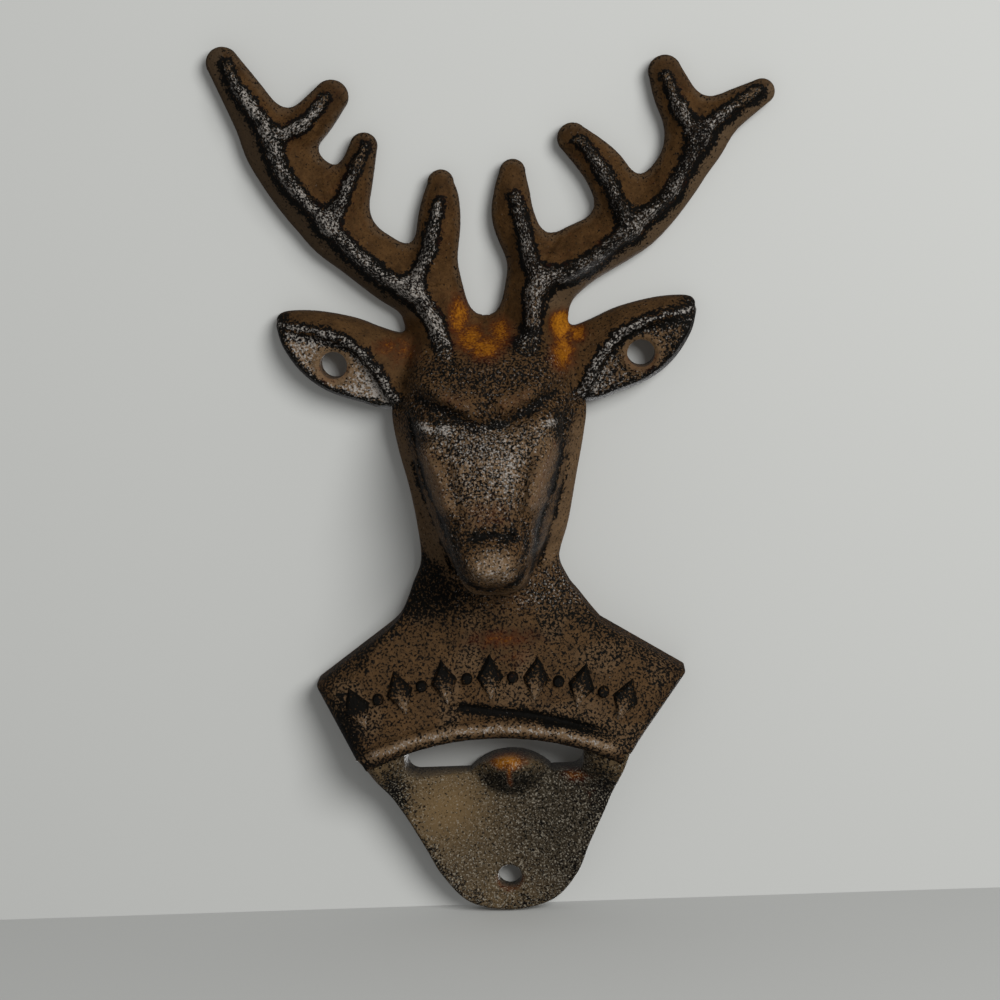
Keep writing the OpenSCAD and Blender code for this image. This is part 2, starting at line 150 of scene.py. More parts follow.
def wander(x, y, *strays):
    """How far a mark's edge strays to either side: reach, size of lumps and seed of each stray."""
    return sum(reach*(grain(x, y, size, seed) - 0.5) for reach, size, seed in strays)


def sand(x, y, depth, inside):
    """Roughness that the mould's sand leaves on the iron, smooth at the edge."""
    mean = 1.4
    lumps = grain(x, y, 0.7, 3) + grain(x, y, 1.6, 4) + 0.8*grain(x, y, 4.1, 5)
    return depth*(lumps - mean)*ease(0, 1, inside)


def rounding(inside, radius):
    """How far a rounded edge falls below the surface, at a distance in from the edge."""
    return radius - np.sqrt(np.maximum(radius**2 - np.maximum(radius - inside, 0)**2, 0))


def lip_radius(x, y):
    """Distance from the centre that the lip's arch is struck from."""
    return np.hypot(x - mouth_x, y - lip_cy)


def lip_turn(x, y):
    """Angle away from the middle of the lip's arch."""
    return np.abs(np.arctan2(x - mouth_x, y - lip_cy))


def beside(start, end, x, y):
    """Distance to the left of a straight line."""
    dx, dy = end[0] - start[0], end[1] - start[1]
    return ((y - start[1])*dx - (x - start[0])*dy)/np.hypot(dx, dy)


def plate_inside(x, y):
    """Distance in from the plate's two ends and its two upper edges."""
    left, right = plate_corners
    ends = np.minimum(beside(left, plate_feet[0], x, y), beside(plate_feet[1], right, x, y))
    tops = np.minimum(beside(neck_feet[0], left, x, y), beside(right, neck_feet[1], x, y))
    return soft_min(ends, tops, corner_blend)


def corner_swell(x):
    """Extra rounding of the edge towards the plate's corners."""
    return corner_round*ease(*corner_span, np.abs(x))


def plate_form(x, y):
    """Bare front of the plate, which falls away from the lip."""
    return plate_low_h - plate_fall*(lip_radius(x, y) - lip_out)


def bead_form(x, y):
    """Front of the bead, which straddles the seam of plate and lip and dies out at its ends."""
    swell = np.sqrt(np.maximum(1 - ((lip_radius(x, y) - bead_mid_r)/bead_half_w)**2, 0))
    return bead_low_h + bead_rise*swell*ease(*bead_fade, lip_turn(x, y))


def plate_front(x, y):
    """Front of the plate with its rounded edges, half of the bead and the groove above it."""
    inside = np.maximum(plate_inside(x, y), 0)
    up = lip_radius(x, y) - lip_out
    groove = groove_depth*hump(up - np.interp(x, groove_x, groove_up), groove_half)
    groove = groove*ease(*groove_start, x)*ease(*groove_end, x)
    bead = bead_form(x, y) - bead_slope*np.maximum(up - bead_reach, 0)
    h = soft_max(plate_form(x, y) - groove, bead, bead_blend)
    edge = rounding(inside, plate_round + corner_swell(x))
    return h - edge + sand(x, y, plate_sand, inside)


def plate_hollow(x, y):
    """Distance into the hollow behind the plate, which is open to the mouth and to the neck."""
    mouth = np.maximum(mouth_half - np.abs(x - mouth_x), lip_radius(x, y) - lip_out - cast_wall)
    neck = np.minimum(x - neck_feet[0][0], neck_feet[1][0] - x) - cast_wall
    return np.minimum(np.minimum(plate_inside(x, y) - cast_wall, mouth),
                      np.maximum(shoulder_y - cast_wall - y, neck))


def plate_back(x, y):
    """Back of the plate, with its hollow."""
    return (plate_form(x, y) - cast_wall)*ease(0, hollow_step, plate_hollow(x, y))


def plate_marks(x, y):
    """Black specks, thickest at the ends and round the ornament, a black groove, a worn bead with a painted
    highlight along its crown, and red rust.
    """
    ragged = wander(x, y, (1.4, 0.9, 15), (2.2, 3.1, 16))
    up = lip_radius(x, y) - lip_out
    edge = ease(3.4, 0.3, plate_inside(x, y) + ragged)
    left_end = spot(x + 0.5*ragged, y, -32, 33.5, 3.6, 6)
    right_end = np.maximum(spot(x, y + ragged, 34, 43.5, 5, 2.6), spot(x, y + ragged, 25, 51, 5, 2))
    row = hump(lip_radius(x, y) - row_r, 5)*ease(30, 24, np.abs(x - mouth_x))
    groove = hump(up - np.interp(x, groove_x, groove_up) + 0.25*ragged, 0.95)
    groove = groove*ease(-11, -6, x + ragged)*ease(23, 13, x + ragged)
    # The bead is rubbed pinkish, with a painted highlight along its crown
    bead = hump(up + 0.2 + 0.25*ragged, 0.75)*ease(*bead_fade, lip_turn(x, y))
    patch = ease(0.5, 0.75, grain(x, y, 5.3, 17))
    drip = spot(x, y, 0.6, 52, 10, 2.4)
    return {"wash": layered(0.38 + 0.14*patch, (0.38, row), (0.6, edge), (0.92, left_end), (0.54, right_end),
                            (0.24, bead), (1.1, groove)),
            "worn": 0.44*bead, "rust": np.maximum(0.5*drip, 0.36*spot(x, y, 3.5, 48.5, 5, 3)),
            "tint": layered(0.16 + 0.24*patch, (0.95, bead)), "soot": np.maximum(0.3*left_end, 0.35*drip)}


per_metre = 1000
mm = 1/per_metre
pitch = 0.27
snap = 0.03
spare = 1
rim_depths = (0.1, 0.4)
sharp_angle = math.radians(50)
rear_wash = 0.5


def place(verts):
    """Sideways and upward places of a mesh's corners."""
    at = np.array([v.co[:2] for v in verts])
    return at[:, 0], at[:, 1]


def cut(bm, inside, drop=True):
    """Cuts a flat mesh along the zero line of a depth, and drops what lies outside it."""
    for v, depth in zip(bm.verts, inside(*place(bm.verts))):
        v.co.z = depth
    bmesh.ops.bisect_plane(bm, geom=bm.verts[:] + bm.edges[:] + bm.faces[:], dist=snap,
                           plane_co=(0, 0, 0), plane_no=(0, 0, 1), clear_inner=drop)
    for v in bm.verts:
        v.co.z = 0


def around(box, aside=spare):
    """Corners of the sheet that a node's box needs, with a little to spare."""
    low, high = box
    return ((per_metre*low.x - aside, per_metre*low.z - spare),
            (per_metre*high.x + aside, per_metre*high.z + spare))


def rows_in(inside, depths=rim_depths):
    """Rows of corners that follow an edge at some depths in from it."""
    return [lambda x, y, depth=depth: inside(x, y) - depth for depth in depths]


def board(low, high, edges, rows=()):
    """A flat sheet on a lattice that all pieces share, cut along its edges, with extra rows of corners."""
    first, last = np.floor(np.array(low)/pitch), np.ceil(np.array(high)/pitch)
    count, middle = last - first, (first + last)*pitch/2
    bm = bmesh.new()
    bmesh.ops.create_grid(bm, x_segments=int(count[0]), y_segments=int(count[1]), size=0.5,
                          matrix=Matrix.Translation((*middle, 0)) @ Matrix.Diagonal((*(count*pitch), 1, 1)))
    for edge in edges:
        cut(bm, edge)
    for row in rows:
        cut(bm, row, drop=False)
    bmesh.ops.remove_doubles(bm, verts=bm.verts[:], dist=1.5*snap)
    bmesh.ops.triangulate(bm, faces=[f for f in bm.faces if len(f.verts) > 4])
    return bm


def flat_back(x, y):
    """Back that lies flat on the wall."""
    return np.zeros(x.shape)


def cast(bm, front, back):
    """Raises a sheet to its front, lays a copy of it at the back and closes the wall between them."""
    for v, h in zip(bm.verts, front(*place(bm.verts))):
        v.co.z = h
    behind = bm.verts.layers.float.new("behind")
    copied = bmesh.ops.extrude_face_region(bm, geom=bm.verts[:] + bm.edges[:] + bm.faces[:],
                                           use_keep_orig=True)
    rear = [v for v in copied["geom"] if isinstance(v, bmesh.types.BMVert)]
    for v, h in zip(rear, back(*place(rear))):
        v.co.z = h
        v[behind] = 1
    bmesh.ops.recalc_face_normals(bm, faces=bm.faces[:])
    return bm


def put(name, data):
    """Puts an object into the scene."""
    made = bpy.data.objects.new(name, data)
    bpy.context.scene.collection.objects.link(made)
    return made


def hang(name, bm, finish, marks):
    """Stands a finished shape up against the wall, as a named piece with the marks that its finish reads."""
    mesh = bpy.data.meshes.new(name)
    bm.to_mesh(mesh)
    bm.free()
    mesh.shade_smooth()
    mesh.set_sharp_from_angle(angle=sharp_angle)
    at = np.zeros(3*len(mesh.vertices))
    mesh.vertices.foreach_get("co", at)
    x, y, _ = at.reshape(-1, 3).T
    behind = np.zeros(len(mesh.vertices), np.float32)
    if "behind" in mesh.attributes:
        mesh.attributes["behind"].data.foreach_get("value", behind)
    for mark, value in marks(x, y).items():
        rear = rear_wash if mark == "wash" else 0
        shown = layered(np.clip(value, 0, 1), (rear, behind))
        mesh.attributes.new(mark, "FLOAT", "POINT").data.foreach_set("value", shown.astype(np.float32))
    mesh.transform(Matrix(((mm, 0, 0, 0), (0, 0, -mm, 0), (0, mm, 0, 0), (0, 0, 0, 1))))
    mesh.materials.append(finish)
    return put(name, mesh)


def srgb(code):
    """A colour written as sRGB hex, in the linear values that shaders take."""
    parts = [int(code[i:i + 2], 16)/255 for i in (1, 3, 5)]
    return (*[c/12.92 if c <= 0.04045 else ((c + 0.055)/1.055)**2.4 for c in parts], 1)


def node(tree, kind, inputs, **options):
    """Adds a shader node, sets its options, and links or sets its inputs."""
    made = tree.nodes.new("ShaderNode" + kind)
    for option, value in options.items():
        setattr(made, option, value)
    for key, value in inputs.items():
        if isinstance(value, bpy.types.NodeSocket):
            tree.links.new(value, made.inputs[key])
        else:
            made.inputs[key].default_value = value
    return made


def painted_iron(name, paint=("#2a1b0b", "#51391f"), thin_or_lit_paint="#715c45", ink="#0a0907", fleck_and_glint="#97918a",
                 speck_mm=0.5, fleck_mm=0.46, bump=0.6, rough=0.66):
    """Cast iron under thin brown paint: black wash breaks up into specks over the sand grain, rust blooms
    where water stood, and light flecks show bare metal where it is rubbed and painted glints of light.
    The wash, the soot and the thin paint also carry painted shade and painted light where marks put them."""
    rust_tones = ("#471a06", "#bd7a14")
    mottle_mm, bloom_mm = 3, 1.4
    speck_rise = 0.4*mm
    bare_rough = 0.4
    material = bpy.data.materials.new(name)
    material.use_nodes = True
    tree = material.node_tree
    tree.nodes.clear()
    place_on = node(tree, "TexCoord", {}).outputs["Object"]

    def noise(size_mm, detail, roughness):
        """Noise in lumps of about a size."""
        return node(tree, "TexNoise", {"Vector": place_on, "Scale": per_metre/size_mm, "Detail": detail,
                                       "Roughness": roughness}).outputs["Fac"]

    def added(value, gain, other):
        """A value times a gain, plus another value."""
        return node(tree, "Math", {0: value, 1: gain, 2: other}, operation="MULTIPLY_ADD").outputs[0]

    def ramp(value, start, end, low=0, high=1, climb="LINEAR"):
        """Climbs from low to high while a value goes from start to end."""
        return node(tree, "MapRange", {0: value, 1: start, 2: end, 3: low, 4: high},
                    interpolation_type=climb).outputs[0]

    def blend(share, one, other):
        """Colour that changes from one to another by a share."""
        return node(tree, "Mix", {0: share, 6: one, 7: other}, data_type="RGBA").outputs[2]

    wash, worn, rust, tint, soot = (node(tree, "Attribute", {}, attribute_name=mark).outputs["Fac"]
                                    for mark in ("wash", "worn", "rust", "tint", "soot"))
    # Paint that varies in tone over a few millimetres, and thins out where it is worn; the thin tone is
    # also painted light in some places, and the smooth black soot is partly painted shade
    mottle = noise(mottle_mm, 8, 0.85)
    brown = blend(ramp(mottle, 0.35, 0.65), srgb(paint[0]), srgb(paint[1]))
    sooty_or_shaded = blend(soot, blend(tint, brown, srgb(thin_or_lit_paint)), srgb(ink))
    # Black wash that breaks up into specks, which the marks also lay down as painted shade
    speck = noise(speck_mm, 4, 0.6)
    dark = blend(ramp(added(wash, 0.38, speck), 0.63, 0.74, climb="SMOOTHSTEP"), sooty_or_shaded, srgb(ink))
    # Rust, from red brown to a golden orange in fine grains
    glint = noise(fleck_mm, 3, 0.6)
    eaten = added(noise(bloom_mm, 8, 0.8), 1.1, rust)
    rust_tone = blend(ramp(added(glint, 1.3, eaten), 1.7, 2.6), srgb(rust_tones[0]), srgb(rust_tones[1]))
    rusty = blend(ramp(eaten, 0.7, 1.35, high=0.85, climb="SMOOTHSTEP"), dark, rust_tone)
    # Light flecks: bare iron where it is rubbed, and painted glints of light on the grain
    bare_or_glint = ramp(added(worn, 0.5, glint), 0.7, 0.86)
    colour = blend(bare_or_glint, rusty, srgb(fleck_and_glint))
    # Paint is dull, bare metal is smoother, and the specks stand a little off the iron
    height = added(mottle, 0.6, speck)
    raised = node(tree, "Bump", {"Strength": bump, "Distance": speck_rise, "Height": height})
    dullness = ramp(bare_or_glint, 0, 1, rough, bare_rough)
    iron = node(tree, "BsdfPrincipled", {"Base Color": colour, "Roughness": dullness, "Metallic": 0,
                                         "Specular IOR Level": 0.05, "Normal": raised.outputs["Normal"]})
    node(tree, "OutputMaterial", {"Surface": iron.outputs[0]})
    return material


# Rough rust brown paint with black specks of wash in the sand grain
rust_paint = painted_iron("speckled_rust_paint")
low, high = around(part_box("plate"))
sheet = board(low, (high[0], shoulder_y + spare),
              [plate_inside, lambda x, y: lip_radius(x, y) - lip_out, lambda x, y: shoulder_y - y],
              rows_in(plate_inside) + rows_in(plate_hollow, (0, hollow_step)))
plate = hang("plate_cast", cast(sheet, plate_front, plate_back), rust_paint, plate_marks)
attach(plate, "root")
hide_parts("plate")

# Plate ornament
# A row of raised lozenges with beads between them, cast on the plate along the lip's arch. Black wash lies on
# them, and their lower slopes are rubbed.
relief_h = 1.15
relief_root = 0.35
lozenge_w, lozenge_l = 6, 9.6
lozenge_top = 0.68
bead_d = 2.6
bead_sides = 20
relief_bevel, bevel_steps = 0.2, 3
relief_weld = 0.01
lozenges = 7
lozenge_step = math.radians(7.6)

bm = bmesh.new()
for i in range(2*lozenges - 1):
    angle = (i/2 - (lozenges - 1)/2)*lozenge_step
    on_row = Matrix.Translation((mouth_x, lip_cy, (relief_h - relief_root)/2))
    on_row = on_row @ Matrix.Rotation(-angle, 4, "Z") @ Matrix.Translation((0, row_r, 0))
    if i % 2 == 0:
        bmesh.ops.create_cone(bm, cap_ends=True, segments=4, radius1=1, radius2=lozenge_top,
                              depth=relief_h + relief_root,
                              matrix=on_row @ Matrix.Diagonal((lozenge_w/2, lozenge_l/2, 1, 1)))
    else:
        bmesh.ops.create_cone(bm, cap_ends=True, segments=bead_sides, radius1=bead_d/2, radius2=bead_d/3,
                              depth=relief_h + relief_root, matrix=on_row)
bmesh.ops.bevel(bm, geom=bm.edges[:], offset=relief_bevel, segments=bevel_steps, profile=0.5,
                affect="EDGES", clamp_overlap=True)
bmesh.ops.remove_doubles(bm, verts=bm.verts[:], dist=relief_weld)
bmesh.ops.triangulate(bm, faces=[f for f in bm.faces if len(f.verts) > 4])
bmesh.ops.recalc_face_normals(bm, faces=bm.faces[:])
for v in bm.verts:
    v.co.z += plate_form(v.co.x, v.co.y)


def ornament_marks(x, y):
    """Black on the upper part of each raised shape, rubbed below."""
    rubbed = ease(-1.6, -3.4, lip_radius(x, y) - row_r)
    return {"wash": layered(0.8 + wander(x, y, (0.4, 1.6, 21)), (0.2, rubbed)), "worn": 0.34*rubbed,
            "rust": 0.2*spot(x, y, 3, 46, 5, 3), "tint": 0.85*rubbed, "soot": 0}


ornament = hang("plate_ornament_cast", bm, rust_paint, ornament_marks)
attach(ornament, "root")
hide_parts("plate_ornament")

# Cap lip
# The arched bead along the plate's lower edge that hooks a cap's skirt. Caps have rubbed it to a pinkish
# satin with a painted highlight along its crown, painted shade darkens its underside, and its two ends sink
# into the horns of the scoop.
lip_back = 10.5
lip_sand = 0.14
lip_round = 0.8


def lip_inside(x, y):
    """Distance in from the lip's lower edge."""
    return lip_radius(x, y) - lip_r


def lip_front(x, y):
    """Front of the lip, the lower half of the bead."""
    return bead_form(x, y) + sand(x, y, lip_sand, 1) - rounding(lip_inside(x, y), lip_round)


def lip_marks(x, y):
    """Rubbed along the bead with a painted highlight, painted shade on its underside and black specks towards
    its ends.
    """
    # Painted shade on the lip's underside
    painted_shade_under = ease(1.7, 0.5, lip_inside(x, y) + wander(x, y, (0.8, 0.9, 22)))
    return mixed(plate_marks(x, y), {"wash": 0.6, "worn": 0, "rust": 0.12, "tint": 0.2, "soot": 0.3}, painted_shade_under)


# Iron rubbed to a pinkish satin through the same paint
lip_iron = painted_iron("lip_rubbed_iron")
sheet = board(*around(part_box("cap_lip")),
              [lip_inside, lambda x, y: lip_out - lip_radius(x, y),
               lambda x, y: (lip_end - lip_turn(x, y))*lip_r],
              rows_in(lip_inside))
sheet = cast(sheet, lip_front, lambda x, y: np.full(x.shape, lip_back))
lip = hang("cap_lip_cast", sheet, lip_iron, lip_marks)
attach(lip, "root")
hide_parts("cap_lip")

# Cap scoop
# The dished tongue below the mouth, with two horns that rise to the lip's ends and a screw hole near its tip.
# Caps have worn it to a fine satin grain; it is painted a lighter tan at the upper left and darker on the
# right, as painted light and shade on the dish.
floor_t = 5
dish_r = 34
dish_top, dish_half, dish_blend = 9.6, 24, 3
horn_h, horn_fall, horn_span = 14.3, 9, (15.5, 21)
horn_round_fall = 7
sill_y = 23
slot_round = 3
lip_gap, lip_seam = 0.1, 0.02
scoop_sand = 0.12
scoop_depths = (0.1, 0.5)
tooth_x, tooth_y, tooth_r = 1.2, 25, 8.4
lower_hole_r = next(m["dims"]["r_mm"] for m in frame["record"]["mounts"] if m["name"] == "lower_screw")


def course(points, steps=6):
    """Places along a smooth line through a few given points."""
    p = np.array([points[0], *points, points[-1]], float)
    t = np.linspace(0, 1, steps, endpoint=False)[:, None]
    spans = [(2*b + (c - a)*t + (2*a - 5*b + 4*c - d)*t**2 + (3*b - 3*c + d - a)*t**3)/2
             for a, b, c, d in zip(p, p[1:], p[2:], p[3:])]
    return np.vstack(spans + [p[-1:]])


def nearest(line, x, y):
    """Distance to a line, positive on its left, and the line's last value at the nearest place."""
    gap = np.full(np.shape(x), 1e3)
    value = np.zeros(np.shape(x))
    for a, b in zip(line[:-1], line[1:]):
        dx, dy = b[:2] - a[:2]
        t = np.clip(((x - a[0])*dx + (y - a[1])*dy)/(dx*dx + dy*dy), 0, 1)
        off_x, off_y = x - a[0] - t*dx, y - a[1] - t*dy
        signed = np.copysign(np.hypot(off_x, off_y), dx*off_y - dy*off_x)
        nearer = np.abs(signed) < np.abs(gap)
        gap = np.where(nearer, signed, gap)
        value = np.where(nearer, a[-1] + t*(b[-1] - a[-1]), value)
    return gap, value


tongue_edge = course([plate_feet[0], (-25.6, 22.2), (-20.9, 15.2), (-17.1, 8), (-13.8, 1.4), (-8.4, -5),
                      (0, -7.2), (8.6, -5), (14, 1), (17, 8), (20.2, 14.8), (23.2, 21.6), plate_feet[1]], 8)


def tongue_inside(x, y):
    """Distance in from the edge of the tongue."""
    return nearest(tongue_edge, x, y)[0]


def slot_outside(x, y):
    """Distance outside the slot behind the lip, which has rounded corners."""
    return -soft_min(mouth_half - np.abs(x - mouth_x), y - sill_y, slot_round)


def tooth_outside(x, y):
    """Distance outside the seat of the tooth."""
    return np.hypot(x - tooth_x, y - tooth_y) - tooth_r


def scoop_form(x, y):
    """Front of the dish, with its horns rising to the lip's ends."""
    dish = floor_t + dish_r - np.sqrt(dish_r**2 - np.minimum(np.abs(x), dish_half)**2)
    dish = soft_min(dish, dish_top, dish_blend)
    horn = ease(horn_fall, 0, -lip_inside(x, y))*ease(*horn_span, np.abs(x - mouth_x))
    return layered(dish, (horn_h, horn))


def scoop_front(x, y):
    """Front of the scoop, with rounded edges all round, which passes behind the lip."""
    edge = np.minimum(tongue_inside(x, y), np.hypot(x, y) - lower_hole_r)
    edge = np.maximum(np.minimum(edge, slot_outside(x, y)), 0)
    horn_round = corner_swell(x)*ease(horn_round_fall, 0, -lip_inside(x, y))
    h = scoop_form(x, y) - rounding(edge, plate_round + horn_round) + sand(x, y, scoop_sand, edge)
    behind_lip = (lip_inside(x, y) > lip_seam) & (lip_turn(x, y) < lip_end)
    return np.where(behind_lip, np.minimum(h, lip_back - lip_gap), h)


def scoop_marks(x, y):
    """Painted light in tan at the upper left, painted shade on the right, black beside the horns and rust at
    the holes.
    """
    ragged = wander(x, y, (2, 0.9, 23), (3, 3.4, 24))
    # The dish is painted darker towards the right and a lighter tan at its upper left: painted shade and
    # light
    right = ease(-9, 13, x + 0.3*(y - 8) + 0.8*ragged)
    painted_light_patch = spot(x, y, -12.5, 16.5, 8.5, 8)
    tip = spot(x, y, -2, -5, 10, 5)
    edge = ease(3, 0.2, tongue_inside(x, y) + ragged)
    left_horn = spot(x + 0.5*ragged, y, -22.5, 20, 2.8, 5.5)
    right_horn = spot(x + 0.4*ragged, y, 20, 18.5, 3, 7)
    horn_top = ease(9, 2, -lip_inside(x, y))*ease(18, 22, np.abs(x - mouth_x))
    hole = hump(np.hypot(x, y) - lower_hole_r, 0.8)*(y < 0.8)
    slot_end = spot(x, y, 14.6, 22.4, 3.4, 1.6)
    return {"wash": layered(0.28 + 0.12*right, (0.16, painted_light_patch), (0.6, 0.8*edge), (0.36, horn_top),
                            (0.85, left_horn), (0.8, right_horn)),
            "worn": layered(0.34, (0.22, painted_light_patch), (0.2, horn_top)),
            "rust": np.maximum(np.maximum(0.5*hole, 0.7*slot_end), 0.25*spot(x, y, 17.5, 19, 2, 3)),
            "tint": layered(0.22 - 0.22*right, (0.85, painted_light_patch), (0.42, tip), (0.5, horn_top)),
            "soot": layered(0.1*right, (0, painted_light_patch), (0.4, left_horn))}


# Iron worn to a fine satin grain, with a tan tone that also paints light on the dish
scoop_iron = painted_iron("scoop_satin_iron", ("#2b251c", "#40382b"), "#6b573b", fleck_and_glint="#8d8576",
                          fleck_mm=0.38, bump=0.3, rough=0.55)
sheet = board(*around(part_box("cap_scoop")),
              [tongue_inside, lambda x, y: np.maximum(plate_inside(x, y), plate_feet[0][1] - y),
               lambda x, y: lip_out - lip_radius(x, y), slot_outside, tooth_outside,
               lambda x, y: np.hypot(x, y) - lower_hole_r],
              rows_in(tongue_inside, scoop_depths) + rows_in(slot_outside, scoop_depths)
              + [lambda x, y: -lip_inside(x, y)])
scoop = hang("cap_scoop_cast", cast(sheet, scoop_front, flat_back), scoop_iron, scoop_marks)
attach(scoop, "root")
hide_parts("cap_scoop")

# Cap tooth
# The rounded lug on the scoop's upper edge that bears on a cap's top. Its arched upper edge is rusty where
# caps strike it, painted shade darkens its underside, and a fine seam of the mould runs down its middle.
tooth_top_y, tooth_top_r = 26.6, 11.6
tooth_h, tooth_drop = 4.8, 0.6
tooth_round = 1
tooth_sand = 0.1
seam_off, seam_h, seam_half = 0.2, 0.25, 0.35


def tooth_inside(x, y):
    """Distance in from the arched upper edge."""
    return tooth_top_r - np.hypot(x - tooth_x, y - tooth_top_y + tooth_top_r)


def tooth_front(x, y):
    """Front of the tooth: a swell that grows out of the dish, with the seam of the mould."""
    u, v = (x - tooth_x)/tooth_r, (y - tooth_y + tooth_drop)/(tooth_r - tooth_drop)
    swell = tooth_h*ease(1, 0, np.hypot(u, v))
    seam = seam_h*hump(x - tooth_x + seam_off, seam_half)*ease(0, 2, swell)
    edge = np.maximum(tooth_inside(x, y), 0)
    rough = sand(x, y, tooth_sand, -tooth_outside(x, y))
    return scoop_form(x, y) + swell + seam - rounding(edge, tooth_round) + rough


def tooth_marks(x, y):
    """Rust along the upper edge and the seam, painted shade below, and the scoop's own marks round its foot.
    """
    ragged = wander(x, y, (1.5, 1.1, 25))
    top = ease(23.4, 26, y + ragged)*hump(x - tooth_x + 0.5, 4.6)
    seam = hump(x - tooth_x + seam_off + 0.2*ragged, 0.8)*ease(18.5, 22, y)
    # Painted shade on the lower half of the tooth, which faces down
    painted_shade_under = np.exp(-(((x - tooth_x)/6.4)**2 + ((y - 21.4 + 0.6*ragged)/3)**2)**2)
    own = {"wash": layered(0.36, (0.6, painted_shade_under), (0.2, np.maximum(top, seam))), "worn": 0.24 + 0.1*top,
           "rust": np.maximum(top, 0.7*seam), "tint": 0.5*ease(22, 26, y), "soot": 0.5*painted_shade_under*(1 - seam)}
    return mixed(own, scoop_marks(x, y), ease(2.2, 0, -tooth_outside(x, y)))


sheet = board((tooth_x - tooth_r - spare, tooth_y - tooth_r - spare),
              (tooth_x + tooth_r + spare, tooth_top_y + spare),
              [lambda x, y: -tooth_outside(x, y), tooth_inside], rows_in(tooth_inside))
tooth = hang("cap_tooth_cast", cast(sheet, tooth_front, flat_back), scoop_iron, tooth_marks)
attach(tooth, "root")
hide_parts("cap_tooth")

# Antlers
# Two branching antlers, cast in one with the head and painted rust brown. Each limb falls from a rounded
# crest to a thin edge. Black wash lies on the crests and beside them, and handling has rubbed bright flecks
# into it, which are partly painted glints. Painted shade darkens the outer sides, most on the left antler.
crown_y = per_metre*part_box("left_antler")[0].z
crown_half = 13.5
edge_t = 3
edge_round = 0.9
crotch_blend = 4.5
ear_blend = 2
crest_bead_h = 0.9
crest_spread = 0.15
crest_web = 2.6
flank_sand, crest_sand = 0.1, 0.18
ear_tip_blend = 1
ear_seam_x, ear_seam_y = 21, 121
least_gap = 0.01

# Middle lines of the limbs and of a web between two tines, first on the left antler: x, y and half width
limbs = [
    [(-9.4, 113, 5.8), (-11.6, 121.2, 6), (-19.2, 126.9, 5.9), (-31.5, 137, 5.2), (-39.8, 148, 4.9),
     (-44, 158, 4.7), (-50.4, 169.5, 3.19)],
    [(-9.9, 118, 4.6), (-9.6, 128, 4.3), (-8.6, 136, 4.3), (-8, 141, 3.6), (-7.9, 144, 2.6)],
    [(-28.5, 136, 4.6), (-25.8, 143.5, 3.9), (-23, 151.9, 2.7)],
    [(-40, 153.5, 4.6), (-34.2, 156.6, 4.3), (-29, 161.9, 3.4)],
    [(-35, 147.5, 3.2), (-29.8, 143.6, 3.2)],
    [(10, 113, 5.8), (11.2, 120.8, 6), (17.7, 127.5, 6.1), (30.8, 134.2, 5.2), (39.2, 143.2, 5),
     (46, 152.8, 4.5), (56.8, 159.3, 2.54)],
    [(9.6, 118, 5), (9.4, 127, 4.3), (6.5, 136, 4.3), (6.3, 141.5, 3.6), (6.6, 145.5, 2.6)],
    [(29, 136.5, 4.8), (25, 145.2, 4.3), (18.9, 151.7, 3.1)],
    [(43.5, 151, 4.6), (39.6, 159, 4.1), (37.7, 164, 3.3)]]

# Crests of the limbs, without the web's: x, y and distance from the wall
crests = [
    [(-7.2, 107, 11), (-8.5, 111.8, 11), (-10.6, 117.5, 11), (-13.6, 122.4, 10.4), (-19.6, 125.9, 9.6),
     (-25.9, 131.4, 9.2), (-31.7, 138.4, 9), (-36.5, 143.9, 8.9), (-39.6, 149, 8.8), (-40.9, 154.6, 8.5),
     (-44.6, 160.6, 8), (-47, 164.2, 7.2), (-49, 169, 5.6)],
    [(-14.4, 123.2, 10), (-11.7, 128.8, 8.9), (-10, 133.5, 8.3), (-8.2, 140.2, 6.6)],
    [(-30.4, 137.2, 9), (-27.3, 141.7, 7.8), (-25.2, 146.6, 6.6), (-22.4, 152, 4.6)],
    [(-41, 154.4, 8.6), (-36, 155.9, 8), (-33, 158.1, 7.4), (-29.7, 161.6, 5.6)],
    [(8.6, 111.5, 11), (9.7, 117.2, 11), (10.1, 121.3, 10.6), (13, 124.6, 10.2), (16.8, 125.1, 9.7),
     (22.4, 128.1, 9.3), (29.6, 133.4, 9), (37.3, 139.7, 8.8), (41.1, 145.8, 8.5), (44.5, 151.7, 8.1),
     (49.5, 155.7, 7), (56, 159.4, 4.8)],
    [(11, 123.6, 10.2), (9.4, 128.6, 9.2), (8.5, 132.7, 8.6), (7, 140.8, 6.4)],
    [(29.4, 133.4, 9), (27.8, 137.8, 8.8), (25.4, 143.7, 8), (22.3, 148.8, 7), (20, 151.3, 5.9)],
    [(44, 150.8, 8.3), (41.7, 154, 8), (39.6, 158, 7.2), (37.9, 163, 5.6)]]
limbs, crests = ([course(p) for p in lines] for lines in (limbs, crests))
left_beam, right_beam = crests[0], crests[4]

# Outer edges of the right ear, which run on into the head. The left ear is its mirror image.
ear_lower = course([(7.5, 101), (19.7, 98.9), (26.2, 100.5), (32.8, 103), (37.7, 106.8), (41.2, 111.9),
                    (42.4, 116), (42.5, 117.4)])
ear_upper = course([(42.5, 117.4), (41.8, 118.9), (39.4, 119.5), (33.8, 119.2), (26.6, 117.6), (21, 115.3),
                    (16.5, 113.9), (6, 112)])

